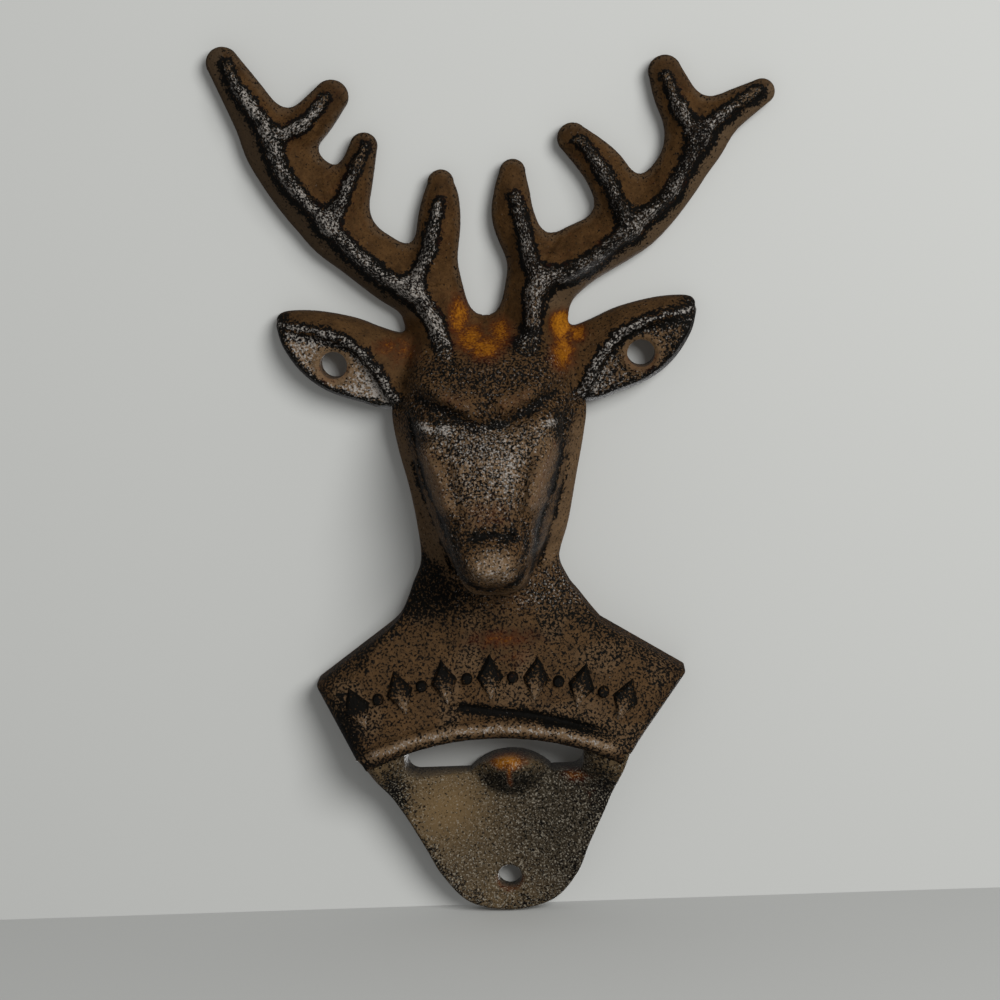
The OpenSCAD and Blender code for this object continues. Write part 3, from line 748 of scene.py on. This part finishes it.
# Rust where water stood between the antlers and beside their feet: strength, place and half sizes
crown_rust = [(0.85, -5.2, 117.5, 2.4, 5), (0.8, -3, 113.2, 3.6, 3.4), (0.85, 0, 111.4, 4.4, 2.6),
              (0.75, 3, 114, 3, 3.4), (1.3, 15.2, 115, 2.2, 3.6), (0.8, 18.2, 113, 2.6, 2.6),
              (0.85, 15.4, 109.6, 3, 4.4), (0.5, -16.4, 110.8, 4.4, 4), (0.55, -20, 111.8, 3.4, 2.2)]
knot_x, knot_y = 7.9, 112.4
knot_rise, knot_dip = 1.1, 0.9


def limb_inside(x, y):
    """Distance in from the edge of the antlers and of the top of the head between them."""
    inside = np.minimum(crown_y - y, crown_half - np.abs(x))
    for limb in limbs:
        gap, half = nearest(limb, x, y)
        inside = soft_max(inside, half - np.abs(gap), crotch_blend)
    return inside


def ear_inside(x, y):
    """Distance in from the outer edge of an ear."""
    return soft_min(nearest(ear_lower, np.abs(x), y)[0], nearest(ear_upper, np.abs(x), y)[0], ear_tip_blend)


def crown_inside(x, y):
    """Distance in from the edge of the antlers and the ears, with a fillet where they meet."""
    return soft_max(limb_inside(x, y), ear_inside(x, y), ear_blend)


def antler_part(x, y):
    """Distance into the antlers from the seams at the head and the ears."""
    return np.maximum(y - ear_seam_y, np.minimum(y - crown_y, ear_seam_x - np.abs(x)))


def antler_crest(x, y):
    """Distance to the nearest crest, less where two crests meet, and that crest's distance from the wall."""
    gap, least, height = (np.full(x.shape, v) for v in (1e3, 1e3, 0.0))
    for crest in crests:
        near, h = nearest(crest, x, y)
        near = np.abs(near)
        height = np.where(near < least, h, height)
        least, gap = np.minimum(near, least), soft_min(near, gap, crest_web)
    return np.maximum(gap, 0), height


def antler_front(x, y):
    """Front of the antlers: flanks that rise from rounded edges to a rough crest, and a knot at one foot."""
    inside = np.maximum(crown_inside(x, y), 0)
    gap, crest_h = antler_crest(x, y)
    share = inside/(inside + gap + least_gap)
    bead = np.exp(-(gap/(crest_spread*crest_h))**4)*ease(0, 1, share)
    flank = edge_t + (crest_h - crest_bead_h - edge_t)*share
    knot = knot_rise*spot(x, y, knot_x, knot_y, 1.3, 1.2) - knot_dip*spot(x, y, knot_x, knot_y, 2.6, 2.2)
    rough = sand(x, y, flank_sand + crest_sand*bead, inside)
    return flank + crest_bead_h*bead + knot - rounding(inside, edge_round) + rough


def rust_marks(x, y):
    """Rust round the antlers' feet."""
    return np.max([level*spot(x, y, *spread) for level, *spread in crown_rust], axis=0)


def antler_marks(x, y):
    """Black crests with bare flecks and painted glints between ragged black lines, grey outer sides darkened
    with painted shade, and tips rubbed brown.
    """
    gap, crest_h = antler_crest(x, y)
    ragged = gap + wander(x, y, (0.7, 0.7, 11), (0.6, 2.6, 10))
    half = crest_spread*crest_h
    crest = ease(half + 0.3, half - 0.3, ragged)
    # Outer sides of the beams, darkened with painted shade, more on the left, and the black line there
    # widened as painted shade
    outer = np.maximum(nearest(left_beam, x, y)[0]*(x < 0), -nearest(right_beam, x, y)[0]*(x > 0))
    outer = ease(0, 0.5, outer)*ease(116, 121, y)
    line = hump(ragged - half - 0.3 - 0.4*outer, 0.4 + 0.45*outer)
    side = ease(half + 0.3, half + 1.3, gap)*outer
    rim = ease(1.3, 0.3, crown_inside(x, y) + wander(x, y, (0.6, 1.2, 8)))*ease(116, 120, y)
    tip = ease(7.4, 5.4, crest_h)
    rubbed = np.maximum(tip, spot(x, y, 9.6, 117, 3, 7))
    # A painted glint on the knot, and painted shade in the dip that rings it
    knot = spot(x, y, knot_x, knot_y, 1.1, 1)
    knot_ring_shade = np.clip(2.4*(spot(x, y, knot_x, knot_y, 2.8, 2.2) - knot)*grain(x, y, 1.5, 19), 0, 1)
    patch = ease(0.35, 0.7, 0.5*grain(x, y, 3.4, 7) + 0.5*grain(x, y, 1.3, 6))
    smear = ease(0.4, 0.75, grain(x, y, 7, 18))
    dull = ease(2, 12, x)*(1 - rubbed)
    return {"wash": layered(0.14, (0.34, rim), (0.16, side),
                            (0.72 - 0.08*patch - 0.14*rubbed - 0.1*dull, crest), (0.95, line), (1, knot_ring_shade)),
            "worn": layered(crest*(0.36 + 0.16*patch - 0.1*dull)*(1 - 0.5*tip), (0.04, knot_ring_shade), (0.4, knot)),
            "rust": np.maximum(rust_marks(x, y), 0.2*smear)*(1 - crest)*(1 - side),
            "tint": layered(0, (0.35, rim), (0.75, side), (0.4 + 0.4*rubbed, crest)),
            "soot": layered(0, (0.25, rim), (0.4, tip), (np.where(x > 0, 0.4, 0.65), side),
                            (0.75 - 0.1*patch + 0.1*dull - 0.4*rubbed, crest), (0.9, knot_ring_shade))}


for side in ("left", "right"):
    low, high = around(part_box(side + "_antler"))
    sheet = board((low[0], crown_y - spare), high,
                  [crown_inside, antler_part, lambda x, y: x if side == "right" else -x],
                  rows_in(crown_inside))
    antler = hang(side + "_antler_cast", cast(sheet, antler_front, flat_back), rust_paint, antler_marks)
    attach(antler, "root")
    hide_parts(side + "_antler")

# Ears
# Two leaf shaped ears, cast in one with the head, each with a cup that holds a wall screw's head. A sharp
# ridge divides the brown upper flank from the speckled cup, and the lower rim is black. Painted light makes
# the left ear's cup lighter and painted shade makes the right ear darker.
ear_cup_h, ear_cup_slope = 5.8, 3.2
low_rim_h, low_rim_in, low_rim_half = 6.6, 1.3, 0.8
ear_ridge_half = 1.7
ear_flank_bow = 0.8
ear_sand = 0.12
ear_side_spare = 4
ear_ridge = course([(14, 99, 8.8), (18.6, 102, 8.8), (21.2, 106.4, 8.6), (24.1, 110.6, 8.6), (28.3, 114, 8.2),
                    (34, 116, 7.4), (40.4, 117.2, 5.4), (42.4, 117.5, 3.6)])
# Sides of the head and neck, which the ears grow from
head_left = course([neck_feet[0], (-20.3, 56.2), (-18.6, 59.4), (-17.4, 62.5), (-15.3, 67.8), (-15.7, 75),
                    (-16.9, 83), (-18.8, 91.5), (-19.6, 98.7), (-18.4, 106), (-15.4, 113.6),
                    (-15.2, crown_y)])
head_right = course([neck_feet[1], (18.9, 56.4), (16.6, 59.6), (14.5, 62.5), (12.9, 67.4), (15.1, 75),
                     (17.1, 84.5), (18.8, 92.5), (19.6, 98.7), (18.4, 106), (15.4, 113.6), (15.2, crown_y)])
ear_holes = [(per_metre*m["pos_m"][0], per_metre*m["pos_m"][2], m["dims"]["r_mm"])
             for m in frame["record"]["mounts"] if m["name"].endswith("ear_screw")]
hole_rim_h, hole_rim_off, hole_rim_half = 0.5, 0.8, 0.6


def head_sides(y):
    """Places of the left and right sides of the head and neck."""
    return np.interp(y, head_left[:, 1], head_left[:, 0]), np.interp(y, head_right[:, 1], head_right[:, 0])


def head_inside(x, y):
    """Distance in from the sides of the head and neck."""
    left, right = head_sides(y)
    return np.minimum(x - left, right - x)


def near_antler(x, y):
    """How far the side of an ear has changed over to the antler above it."""
    return ease(110, crown_y, y)*ease(22.5, 19, np.abs(x))


def off_hole(x, y):
    """Distance from the edge of the nearer ear's screw hole."""
    return np.min([np.hypot(x - hole_x, y - hole_y) - hole_r for hole_x, hole_y, hole_r in ear_holes], axis=0)


def ear_front(x, y):
    """Front of an ear: a flank up to the ridge, then a cup with a low rim, running up to the antler."""
    inside = np.maximum(crown_inside(x, y), 0)
    ridge, ridge_h = nearest(ear_ridge, np.abs(x), y)
    low_rim = nearest(ear_lower, np.abs(x), y)[0]
    share = inside/(inside + np.abs(ridge) + least_gap)
    flank = edge_t + (ridge_h - edge_t)*share**ear_flank_bow
    cup = ear_cup_h + (ridge_h - ear_cup_h)*np.exp(-(ridge/ear_ridge_half)**4)
    swell = hump(low_rim - low_rim_in, low_rim_half)
    cup = np.maximum(cup, ear_cup_h + (low_rim_h - ear_cup_h)*swell)
    cup = cup + hole_rim_h*hump(off_hole(x, y) - hole_rim_off, hole_rim_half)
    cup = np.minimum(np.minimum(cup, ridge_h), edge_t + ear_cup_slope*np.maximum(low_rim, 0))
    body = np.where(ridge > 0, flank, cup)
    h = body - rounding(inside, edge_round) + sand(x, y, ear_sand, inside)
    return layered(h, (antler_front(x, y), near_antler(x, y)))


def ear_marks(x, y):
    """Specks of bare iron and painted glints on the ridge between black lines, a black lower rim, a tan cup
    and rusty roots, with painted light on the left cup and painted shade on the right ear.
    """
    ridge, _ = nearest(ear_ridge, np.abs(x), y)
    ragged = ridge + wander(x, y, (0.8, 0.8, 12))
    rim = nearest(ear_lower, np.abs(x), y)[0] + wander(x, y, (0.9, 0.9, 13))
    cup = ease(1.2, 2, -ridge)
    outer = ease(26, 36, np.abs(x))
    crest = ease(1.1 - 0.3*outer, 0.7 - 0.3*outer, np.abs(ragged + 0.4))
    line = np.maximum(hump(ragged + 1.8 + 0.3*outer, 0.6 + 0.5*outer), 0.85*hump(ragged - 0.7, 0.4))
    low_rim = ease(2.4, 1.3, rim)
    speckled = ease(12, 2, np.abs(x) - 20 + 0.6*(y - 100))
    tip = spot(np.abs(x), y, 41.5, 118, 2.6, 2.6)
    round_hole = hump(np.maximum(off_hole(x, y), 0), 1.3)
    # The right ear gets more wash, less tan and fewer flecks than the left: painted shade on the right,
    # painted light on the left cup
    own = {"wash": layered(0.14 + 0.1*(x > 0), (np.where(x > 0, 0.54, 0.36) + 0.1*speckled, cup),
                           (0.16, round_hole), (0.92, low_rim), (0.8, crest), (0.95, line), (0.75, tip)),
           "worn": layered(0, (np.where(x > 0, 0.22, 0.46) + 0.2*speckled, cup), (0.06, round_hole),
                           (0.2, low_rim), (0.42, crest)),
           "rust": np.maximum(rust_marks(x, y)*(1 - cup), 0.36*round_hole*(y < ear_holes[0][1])),
           "tint": layered(0, (0.06, 1 - cup), (np.where(x > 0, 0.4, 0.75), cup)),
           "soot": layered(0, (0.45, crest), (0.4, tip))}
    return mixed(own, antler_marks(x, y), near_antler(x, y))


for side, (hole_x, hole_y, hole_r) in (("left", ear_holes[0]), ("right", ear_holes[1])):
    sheet = board(*around(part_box(side + "_ear"), ear_side_spare),
                  [crown_inside, lambda x, y: -antler_part(x, y), lambda x, y: -head_inside(x, y),
                   lambda x, y: np.hypot(x - hole_x, y - hole_y) - hole_r],
                  rows_in(crown_inside) + [lambda x, y: nearest(ear_ridge, np.abs(x), y)[0]])
    ear = hang(side + "_ear_cast", cast(sheet, ear_front, flat_back), rust_paint, ear_marks)
    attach(ear, "root")
    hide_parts(side + "_ear")

# Head
# The stag's face, carved in the pattern and cast hollow: a long straight bridge under two brows, small eyes,
# cheek lobes and a round nose pad. Black wash lies in every crease and crackles over the worn bridge.
# Painted glints sit on the eyes and a painted highlight on the bridge, and painted shade darkens the brows'
# crease, the eye sockets and the left of the face, muzzle and neck.
chin_y = 62.5
muzzle_y = 61
nose_y = 70.5
nose_h = 30.85
brow_h = 21
crown_h = 10
side_h = 5.5
neck_h = 11
muzzle_half = 8.4
face_blend = 4
neck_sand, face_sand = 0.2, 0.3
brow_y = 98.7
face_y, face_half = (nose_y, 84, brow_y, crown_y), (9.2, 13.4, 17.2, 16)
bridge_y, bridge_h = (nose_y, brow_y, crown_y), (nose_h, brow_h, crown_h)
head_reach = 21
# Rows of corners along the sides and the hollow
hollow_rows = rows_in(head_inside, (*rim_depths, cast_wall, cast_wall + hollow_step))

# Carved grooves and ridges on one half of the face: depth or height, half width and course
grooves = [
    (1.8, 1.7, [(-2, 96.4), (1.5, 96.6), (4.5, 97.4), (8, 99.4), (11, 101), (13.4, 102.2)]),
    (0.6, 0.8, [(8.2, 94), (7.4, 88), (6.2, 82.5), (4.9, 78.2)]),
    (1.1, 0.5, [(15.4, 98), (14.7, 94), (13.9, 88.5), (12.4, 83.4), (9.6, 77.5), (8.2, 71), (7.3, 66)]),
    (0.8, 0.42, [(15.6, 89), (13.9, 82), (12.6, 77.6), (10.5, 72), (8.8, 66.4)]),
    (0.7, 0.7, [(6.6, 79), (7, 75), (6, 71), (5.4, 68.2)]),
    (1, 1.1, [(-4, 75.8), (0, 76.4), (4, 75.8)]),
    (0.9, 0.55, [(-3, 65.5), (1, 65.3), (4.6, 66.7), (6.8, 69.4)])]
ridges = [
    (1.7, 1.9, [(3.6, 101), (6.8, 102), (10.5, 103.9), (13.5, 105.6)]),
    (2.2, 2, [(12.6, 92), (10.6, 87.6), (8.8, 82.4)]),
    (0.9, 0.8, [(-3, 63.4), (0.8, 63.2), (4.6, 64.4), (7.6, 67.2)])]
grooves, ridges = ([(rise, half, course(line)) for rise, half, line in lines]
                   for lines in (grooves, ridges))
# Carved mounds on one half of the face: rise, place and half sizes
carved_mounds = [(1.8, 12.6, 96.5, 1.8, 1.5), (1.2, 8, 96.2, 2, 1.4), (1.7, 0, 70.4, 4.6, 3.2),
                 (-1.2, 4.4, 69.2, 1.1, 1.2), (1.2, 0, 107, 6, 5), (0.9, 0, 88, 4.5, 9)]


def head_form(x, y):
    """Bare form of the head and neck: flat flanks, a round muzzle and a straight bridge up to the crown."""
    left, right = head_sides(y)
    across = np.clip((2*x - left - right)/(right - left), -1, 1)
    to_plate = np.clip((chin_y - y)/(chin_y - shoulder_y), 0, 1)
    flank = layered(neck_h - (neck_h - side_h)*across**2, (plate_form(x, y), to_plate))
    fall = (np.maximum(nose_y - y, 0)/(nose_y - muzzle_y))**2
    fall = fall + ease(-2, 6, nose_y - y)*(np.abs(x)/muzzle_half)**4
    ridge = np.interp(y, bridge_y, bridge_h)*np.sqrt(np.clip(1 - fall, 0, 1))
    face = ridge/(1 + (np.abs(x)/np.interp(y, face_y, face_half))**6)
    return soft_max(flank, face, face_blend)


def carving(x, y):
    """Rise of the carved face over its bare form."""
    rise = sum(level*spot(np.abs(x), y, *spread) for level, *spread in carved_mounds)
    for height, half, line in ridges + [(-depth, half, line) for depth, half, line in grooves]:
        rise = rise + height*hump(nearest(line, np.abs(x), y)[0], half)
    return rise*ease(chin_y - 1.5, chin_y + 1, y)


def near_ear(x, y):
    """How far the head's side has changed over to the ear beside it."""
    return ease(4, 0, head_inside(x, y))*ease(98.2, 101.5, y)


def head_front(x, y):
    """Front of the head and neck, which run into the antlers above and the ears at the sides."""
    inside = np.maximum(head_inside(x, y), 0)
    rough = sand(x, y, neck_sand + face_sand*ease(chin_y, nose_y, y), inside)
    h = head_form(x, y) + carving(x, y) + rough - rounding(inside, plate_round)
    return layered(h, (antler_front(x, y), ease(108, crown_y, y)), (ear_front(x, y), near_ear(x, y)))


def head_back(x, y):
    """Back of the hollow in the head and neck, a wall's thickness behind the bare form."""
    left, right = head_sides(y)
    spread = (left + right)/2 + (x - (left + right)/2)*(1 + 2*cast_wall/(right - left))
    thin = np.min([head_form(spread, y + step) for step in (-cast_wall, 0, cast_wall)], axis=0) - cast_wall
    shut = ease(cast_wall, cast_wall + hollow_step, head_inside(x, y))
    return np.maximum(thin, 0)*shut*ease(0, hollow_step, crown_y - cast_wall - y)


def head_marks(x, y):
    """Black creases, a crackled bridge with a painted highlight, painted glints on the eyes, brown cheeks and
    brows, a worn nose, a black speckled neck, and painted shade on the left side, in the brows' crease and
    sockets.
    """
    across = np.abs(x)
    ragged = wander(x, y, (1.1, 0.8, 14), (1.2, 2.4, 9))
    creases = np.zeros(x.shape)
    # Black wash in the carved creases; in the brows' crease it is partly painted shade under the brows
    for depth, half, line in grooves:
        gap = np.maximum(np.abs(nearest(line, across, y)[0]) + 0.8*ragged, 0)
        creases = np.maximum(creases, ease(0, 1, depth)*hump(gap, 0.6*half + 0.5))
    boss, lobe, chin = (hump(nearest(line, across + 0.5*ragged, y)[0], min(half, 1.9))
                        for _, half, line in ridges)
    boss = boss*ease(11, 8, across)
    nose = np.exp(-(((x - 0.4)/4.5)**2 + ((y - 70.4)/3.3)**2)**2)
    worn_half = np.interp(y, (78, 84, 89, 95, 98), (4.8, 5.8, 7.2, 11.5, 14))
    bridge = ease(3, -3, across - worn_half + 2*ragged)*ease(74, 87, y + 3*ragged)
    bridge = bridge*ease(98.5, 95.5, y + 1.5*ragged)
    # A painted highlight on the bridge and painted glints on the eyes
    painted_bridge_highlight = np.maximum(spot(x, y, 3.8, 88.5, 3.4, 4.5), 0.5*spot(x, y, 0, 92, 9, 4))
    painted_eye_glint = np.maximum(spot(across + ragged, y + 0.6*ragged, 12.2, 96.9, 1.5, 1),
                     spot(x + ragged, y, -8.3, 96.6, 1.5, 1.2))
    forehead = ease(97, 100, y)*ease(15, 10, across + ragged)
    flank = ease(-1, 2, across - np.interp(y, face_y, face_half) + ragged)*ease(99, 94, y)
    muzzle = hump(across - np.interp(y, (66, 80), (6.6, 8.4)) + 0.6*ragged, 1.4)
    muzzle = muzzle*ease(63, 67, y)*ease(81, 76, y + ragged)
    band = hump(y - 76.2 + 1.4*ragged, 1.4)*ease(8, 4, across)*ease(0.3, 0.6, grain(x, y, 2.2, 28))
    neck = ease(2.5, -2.5, y - chin_y - 0.035*x*x + 1.5*ragged)
    middle = hump(x - 1, 7)
    # The neck's black wash, made darker on the left as painted shade
    neck_black_and_left_shade = layered(np.where(x < 0, 0.72, 0.58), (0.4, middle))
    upper = spot(x, y + ragged, -2, 93.6, 7, 2.4)
    lower = spot(x, y + ragged, 0, 80.5, 7, 4)
    # Eye sockets, black partly as painted shade under the brows
    socket = np.maximum(spot(across + ragged, y, 14.6, 96, 2, 4.5),
                        spot(x + ragged, y + ragged, -8, 98, 3, 2))
    # The muzzle's left side gets more wash and soot than the right, and the left flank gets soot: painted
    # shade
    wash = layered(0.44, (0.2, flank), (0.52, bridge), (0.56, forehead), (0.3, boss), (0.22, lobe),
                   (np.where(x < 0, 0.66, 0.4), muzzle), (0.6, upper), (0.85, band), (0.78, socket),
                   (0.32, nose), (0.2, chin), (neck_black_and_left_shade, neck))
    own = {"wash": np.maximum(wash, 0.85*creases*(1 - 0.8*nose)),
           "worn": layered(0.16, (0.29 + 0.2*painted_bridge_highlight, bridge), (0.6, painted_eye_glint), (0.36, nose), (0.06, flank),
                           (0.24, lobe), (0.26, 0.7*muzzle), (0.26, neck*(x > 4))),
           "rust": np.max([rust_marks(x, y), 0.3*lobe, 0.3*boss, 0.34*lower, 0.24*middle*neck], axis=0),
           "tint": layered(0.12, (0.5, flank), (0.8, bridge), (0.92, nose), (0.6, lobe), (0.5, chin),
                           (0.2, boss), (0.2, neck)),
           "soot": layered(0, (np.where(x < 0, 0.25, 0.0), muzzle), (0.25, flank*(x < 0)), (0.3, upper))}
    above = y - shoulder_y + ragged*ease(0, 2, y - shoulder_y)
    own = mixed(own, plate_marks(x, y), ease(6, 0, above))
    own = mixed(own, antler_marks(x, y), ease(107, crown_y - 2, y))
    return mixed(own, ear_marks(x, y), near_ear(x, y))


sheet = board((-head_reach, chin_y - spare), (head_reach, crown_y + spare),
              [head_inside, lambda x, y: y - chin_y, lambda x, y: crown_y - y], hollow_rows)
head = hang("head_cast", cast(sheet, head_front, head_back), rust_paint, head_marks)
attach(head, "root")
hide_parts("head")

# Neck
# The short flared neck between the chin and the plate, in the shade of the muzzle. Black wash covers its
# sides, thicker on the left as painted shade, and its middle is worn to a reddish brown.
neck_left, neck_right = -24, 22
# The same paint under more black wash
neck_paint = painted_iron("neck_black_wash")
sheet = board((neck_left, shoulder_y - spare), (neck_right, chin_y + spare),
              [head_inside, lambda x, y: y - shoulder_y, lambda x, y: chin_y - y], hollow_rows)
neck = hang("neck_cast", cast(sheet, head_front, head_back), neck_paint, head_marks)
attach(neck, "root")
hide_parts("neck")

# Floor and wall
# A plain pale floor under the opener and a plain pale wall that it hangs on. Only the camera sees them, and
# only from their fronts, so that light and the other views reach the back of the opener too.
low, high = (Vector(v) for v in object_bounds())
stage_half = 3
floor_gap, wall_gap = 0.0003, 0.0008
for name, turn, stands_at in (("floor", Matrix.Identity(4), (0, 0, low.z - floor_gap)),
                              ("backdrop", Matrix.Rotation(math.pi/2, 4, "X"), (0, high.y + wall_gap, 0))):
    pale = bpy.data.materials.new("pale_matt_" + name)
    pale.use_nodes = True
    tree = pale.node_tree
    tree.nodes.clear()
    matt = node(tree, "BsdfDiffuse", {"Color": srgb("#c3c4c1")})
    clear = node(tree, "BsdfTransparent", {})
    seen = node(tree, "LightPath", {}).outputs["Is Camera Ray"]
    rear = node(tree, "NewGeometry", {}).outputs["Backfacing"]
    front_seen = node(tree, "Math", {0: seen, 1: rear}, operation="SUBTRACT", use_clamp=True)
    shown = node(tree, "MixShader", {0: front_seen.outputs[0], 1: clear.outputs[0], 2: matt.outputs[0]})
    node(tree, "OutputMaterial", {"Surface": shown.outputs[0]})
    bm = bmesh.new()
    bmesh.ops.create_grid(bm, x_segments=2, y_segments=2, size=stage_half,
                          matrix=Matrix.Translation(stands_at) @ turn)
    mesh = bpy.data.meshes.new(name)
    bm.to_mesh(mesh)
    bm.free()
    mesh.materials.append(pale)
    plane = put(name, mesh)
    plane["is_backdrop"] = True

# Light
# Soft studio light: a large lamp from the upper right, a weak one from behind and below and an even grey
# surround, which together show a colour about as it is written.
middle = (low + high)/2
lamp_distance, lamp_size = 0.9, 0.5
grey = 0.32
for name, power, toward in (("key_lamp", 7.4, (0.6, -1, 0.5)), ("rear_lamp", 5, (0.15, 1, -0.6))):
    lamp = bpy.data.lights.new(name, "AREA")
    lamp.shape = "DISK"
    lamp.size = lamp_size
    lamp.energy = power
    held = put(name, lamp)
    toward = Vector(toward).normalized()
    held.location = middle + lamp_distance*toward
    held.rotation_euler = toward.to_track_quat("Z", "Y").to_euler()
world = bpy.data.worlds.new("grey_surround")
world.use_nodes = True
world.node_tree.nodes["Background"].inputs["Color"].default_value = (grey, grey, grey, 1)
bpy.context.scene.world = world
bpy.context.scene.view_settings.view_transform = "Standard"

# Camera
# It looks down a little from the right, as the photograph does, and is turned a little on its axis.
view_from = math.radians(2)
view_up = math.radians(9)
view_roll = math.radians(2.5)
view_distance = 0.5
sensor_width = 36
# Pixels across the photograph, and in a millimetre of the opener
photo_px, photo_px_per_mm = 1000, 4.8705
picture_width = photo_px/photo_px_per_mm*mm
target = Vector((0.0012, 0, 0.07887))
lens = bpy.data.cameras.new("camera")
lens.sensor_fit = "HORIZONTAL"
lens.sensor_width = sensor_width
lens.lens = sensor_width*view_distance/picture_width
lens.clip_start = 0.01
camera = put("camera", lens)
turn = Matrix.Rotation(view_from, 4, "Z") @ Matrix.Rotation(math.pi/2 - view_up, 4, "X")
turn = turn @ Matrix.Rotation(-view_roll, 4, "Z")
camera.matrix_world = Matrix.Translation(target) @ turn @ Matrix.Translation((0, 0, view_distance))
bpy.context.scene.camera = camera
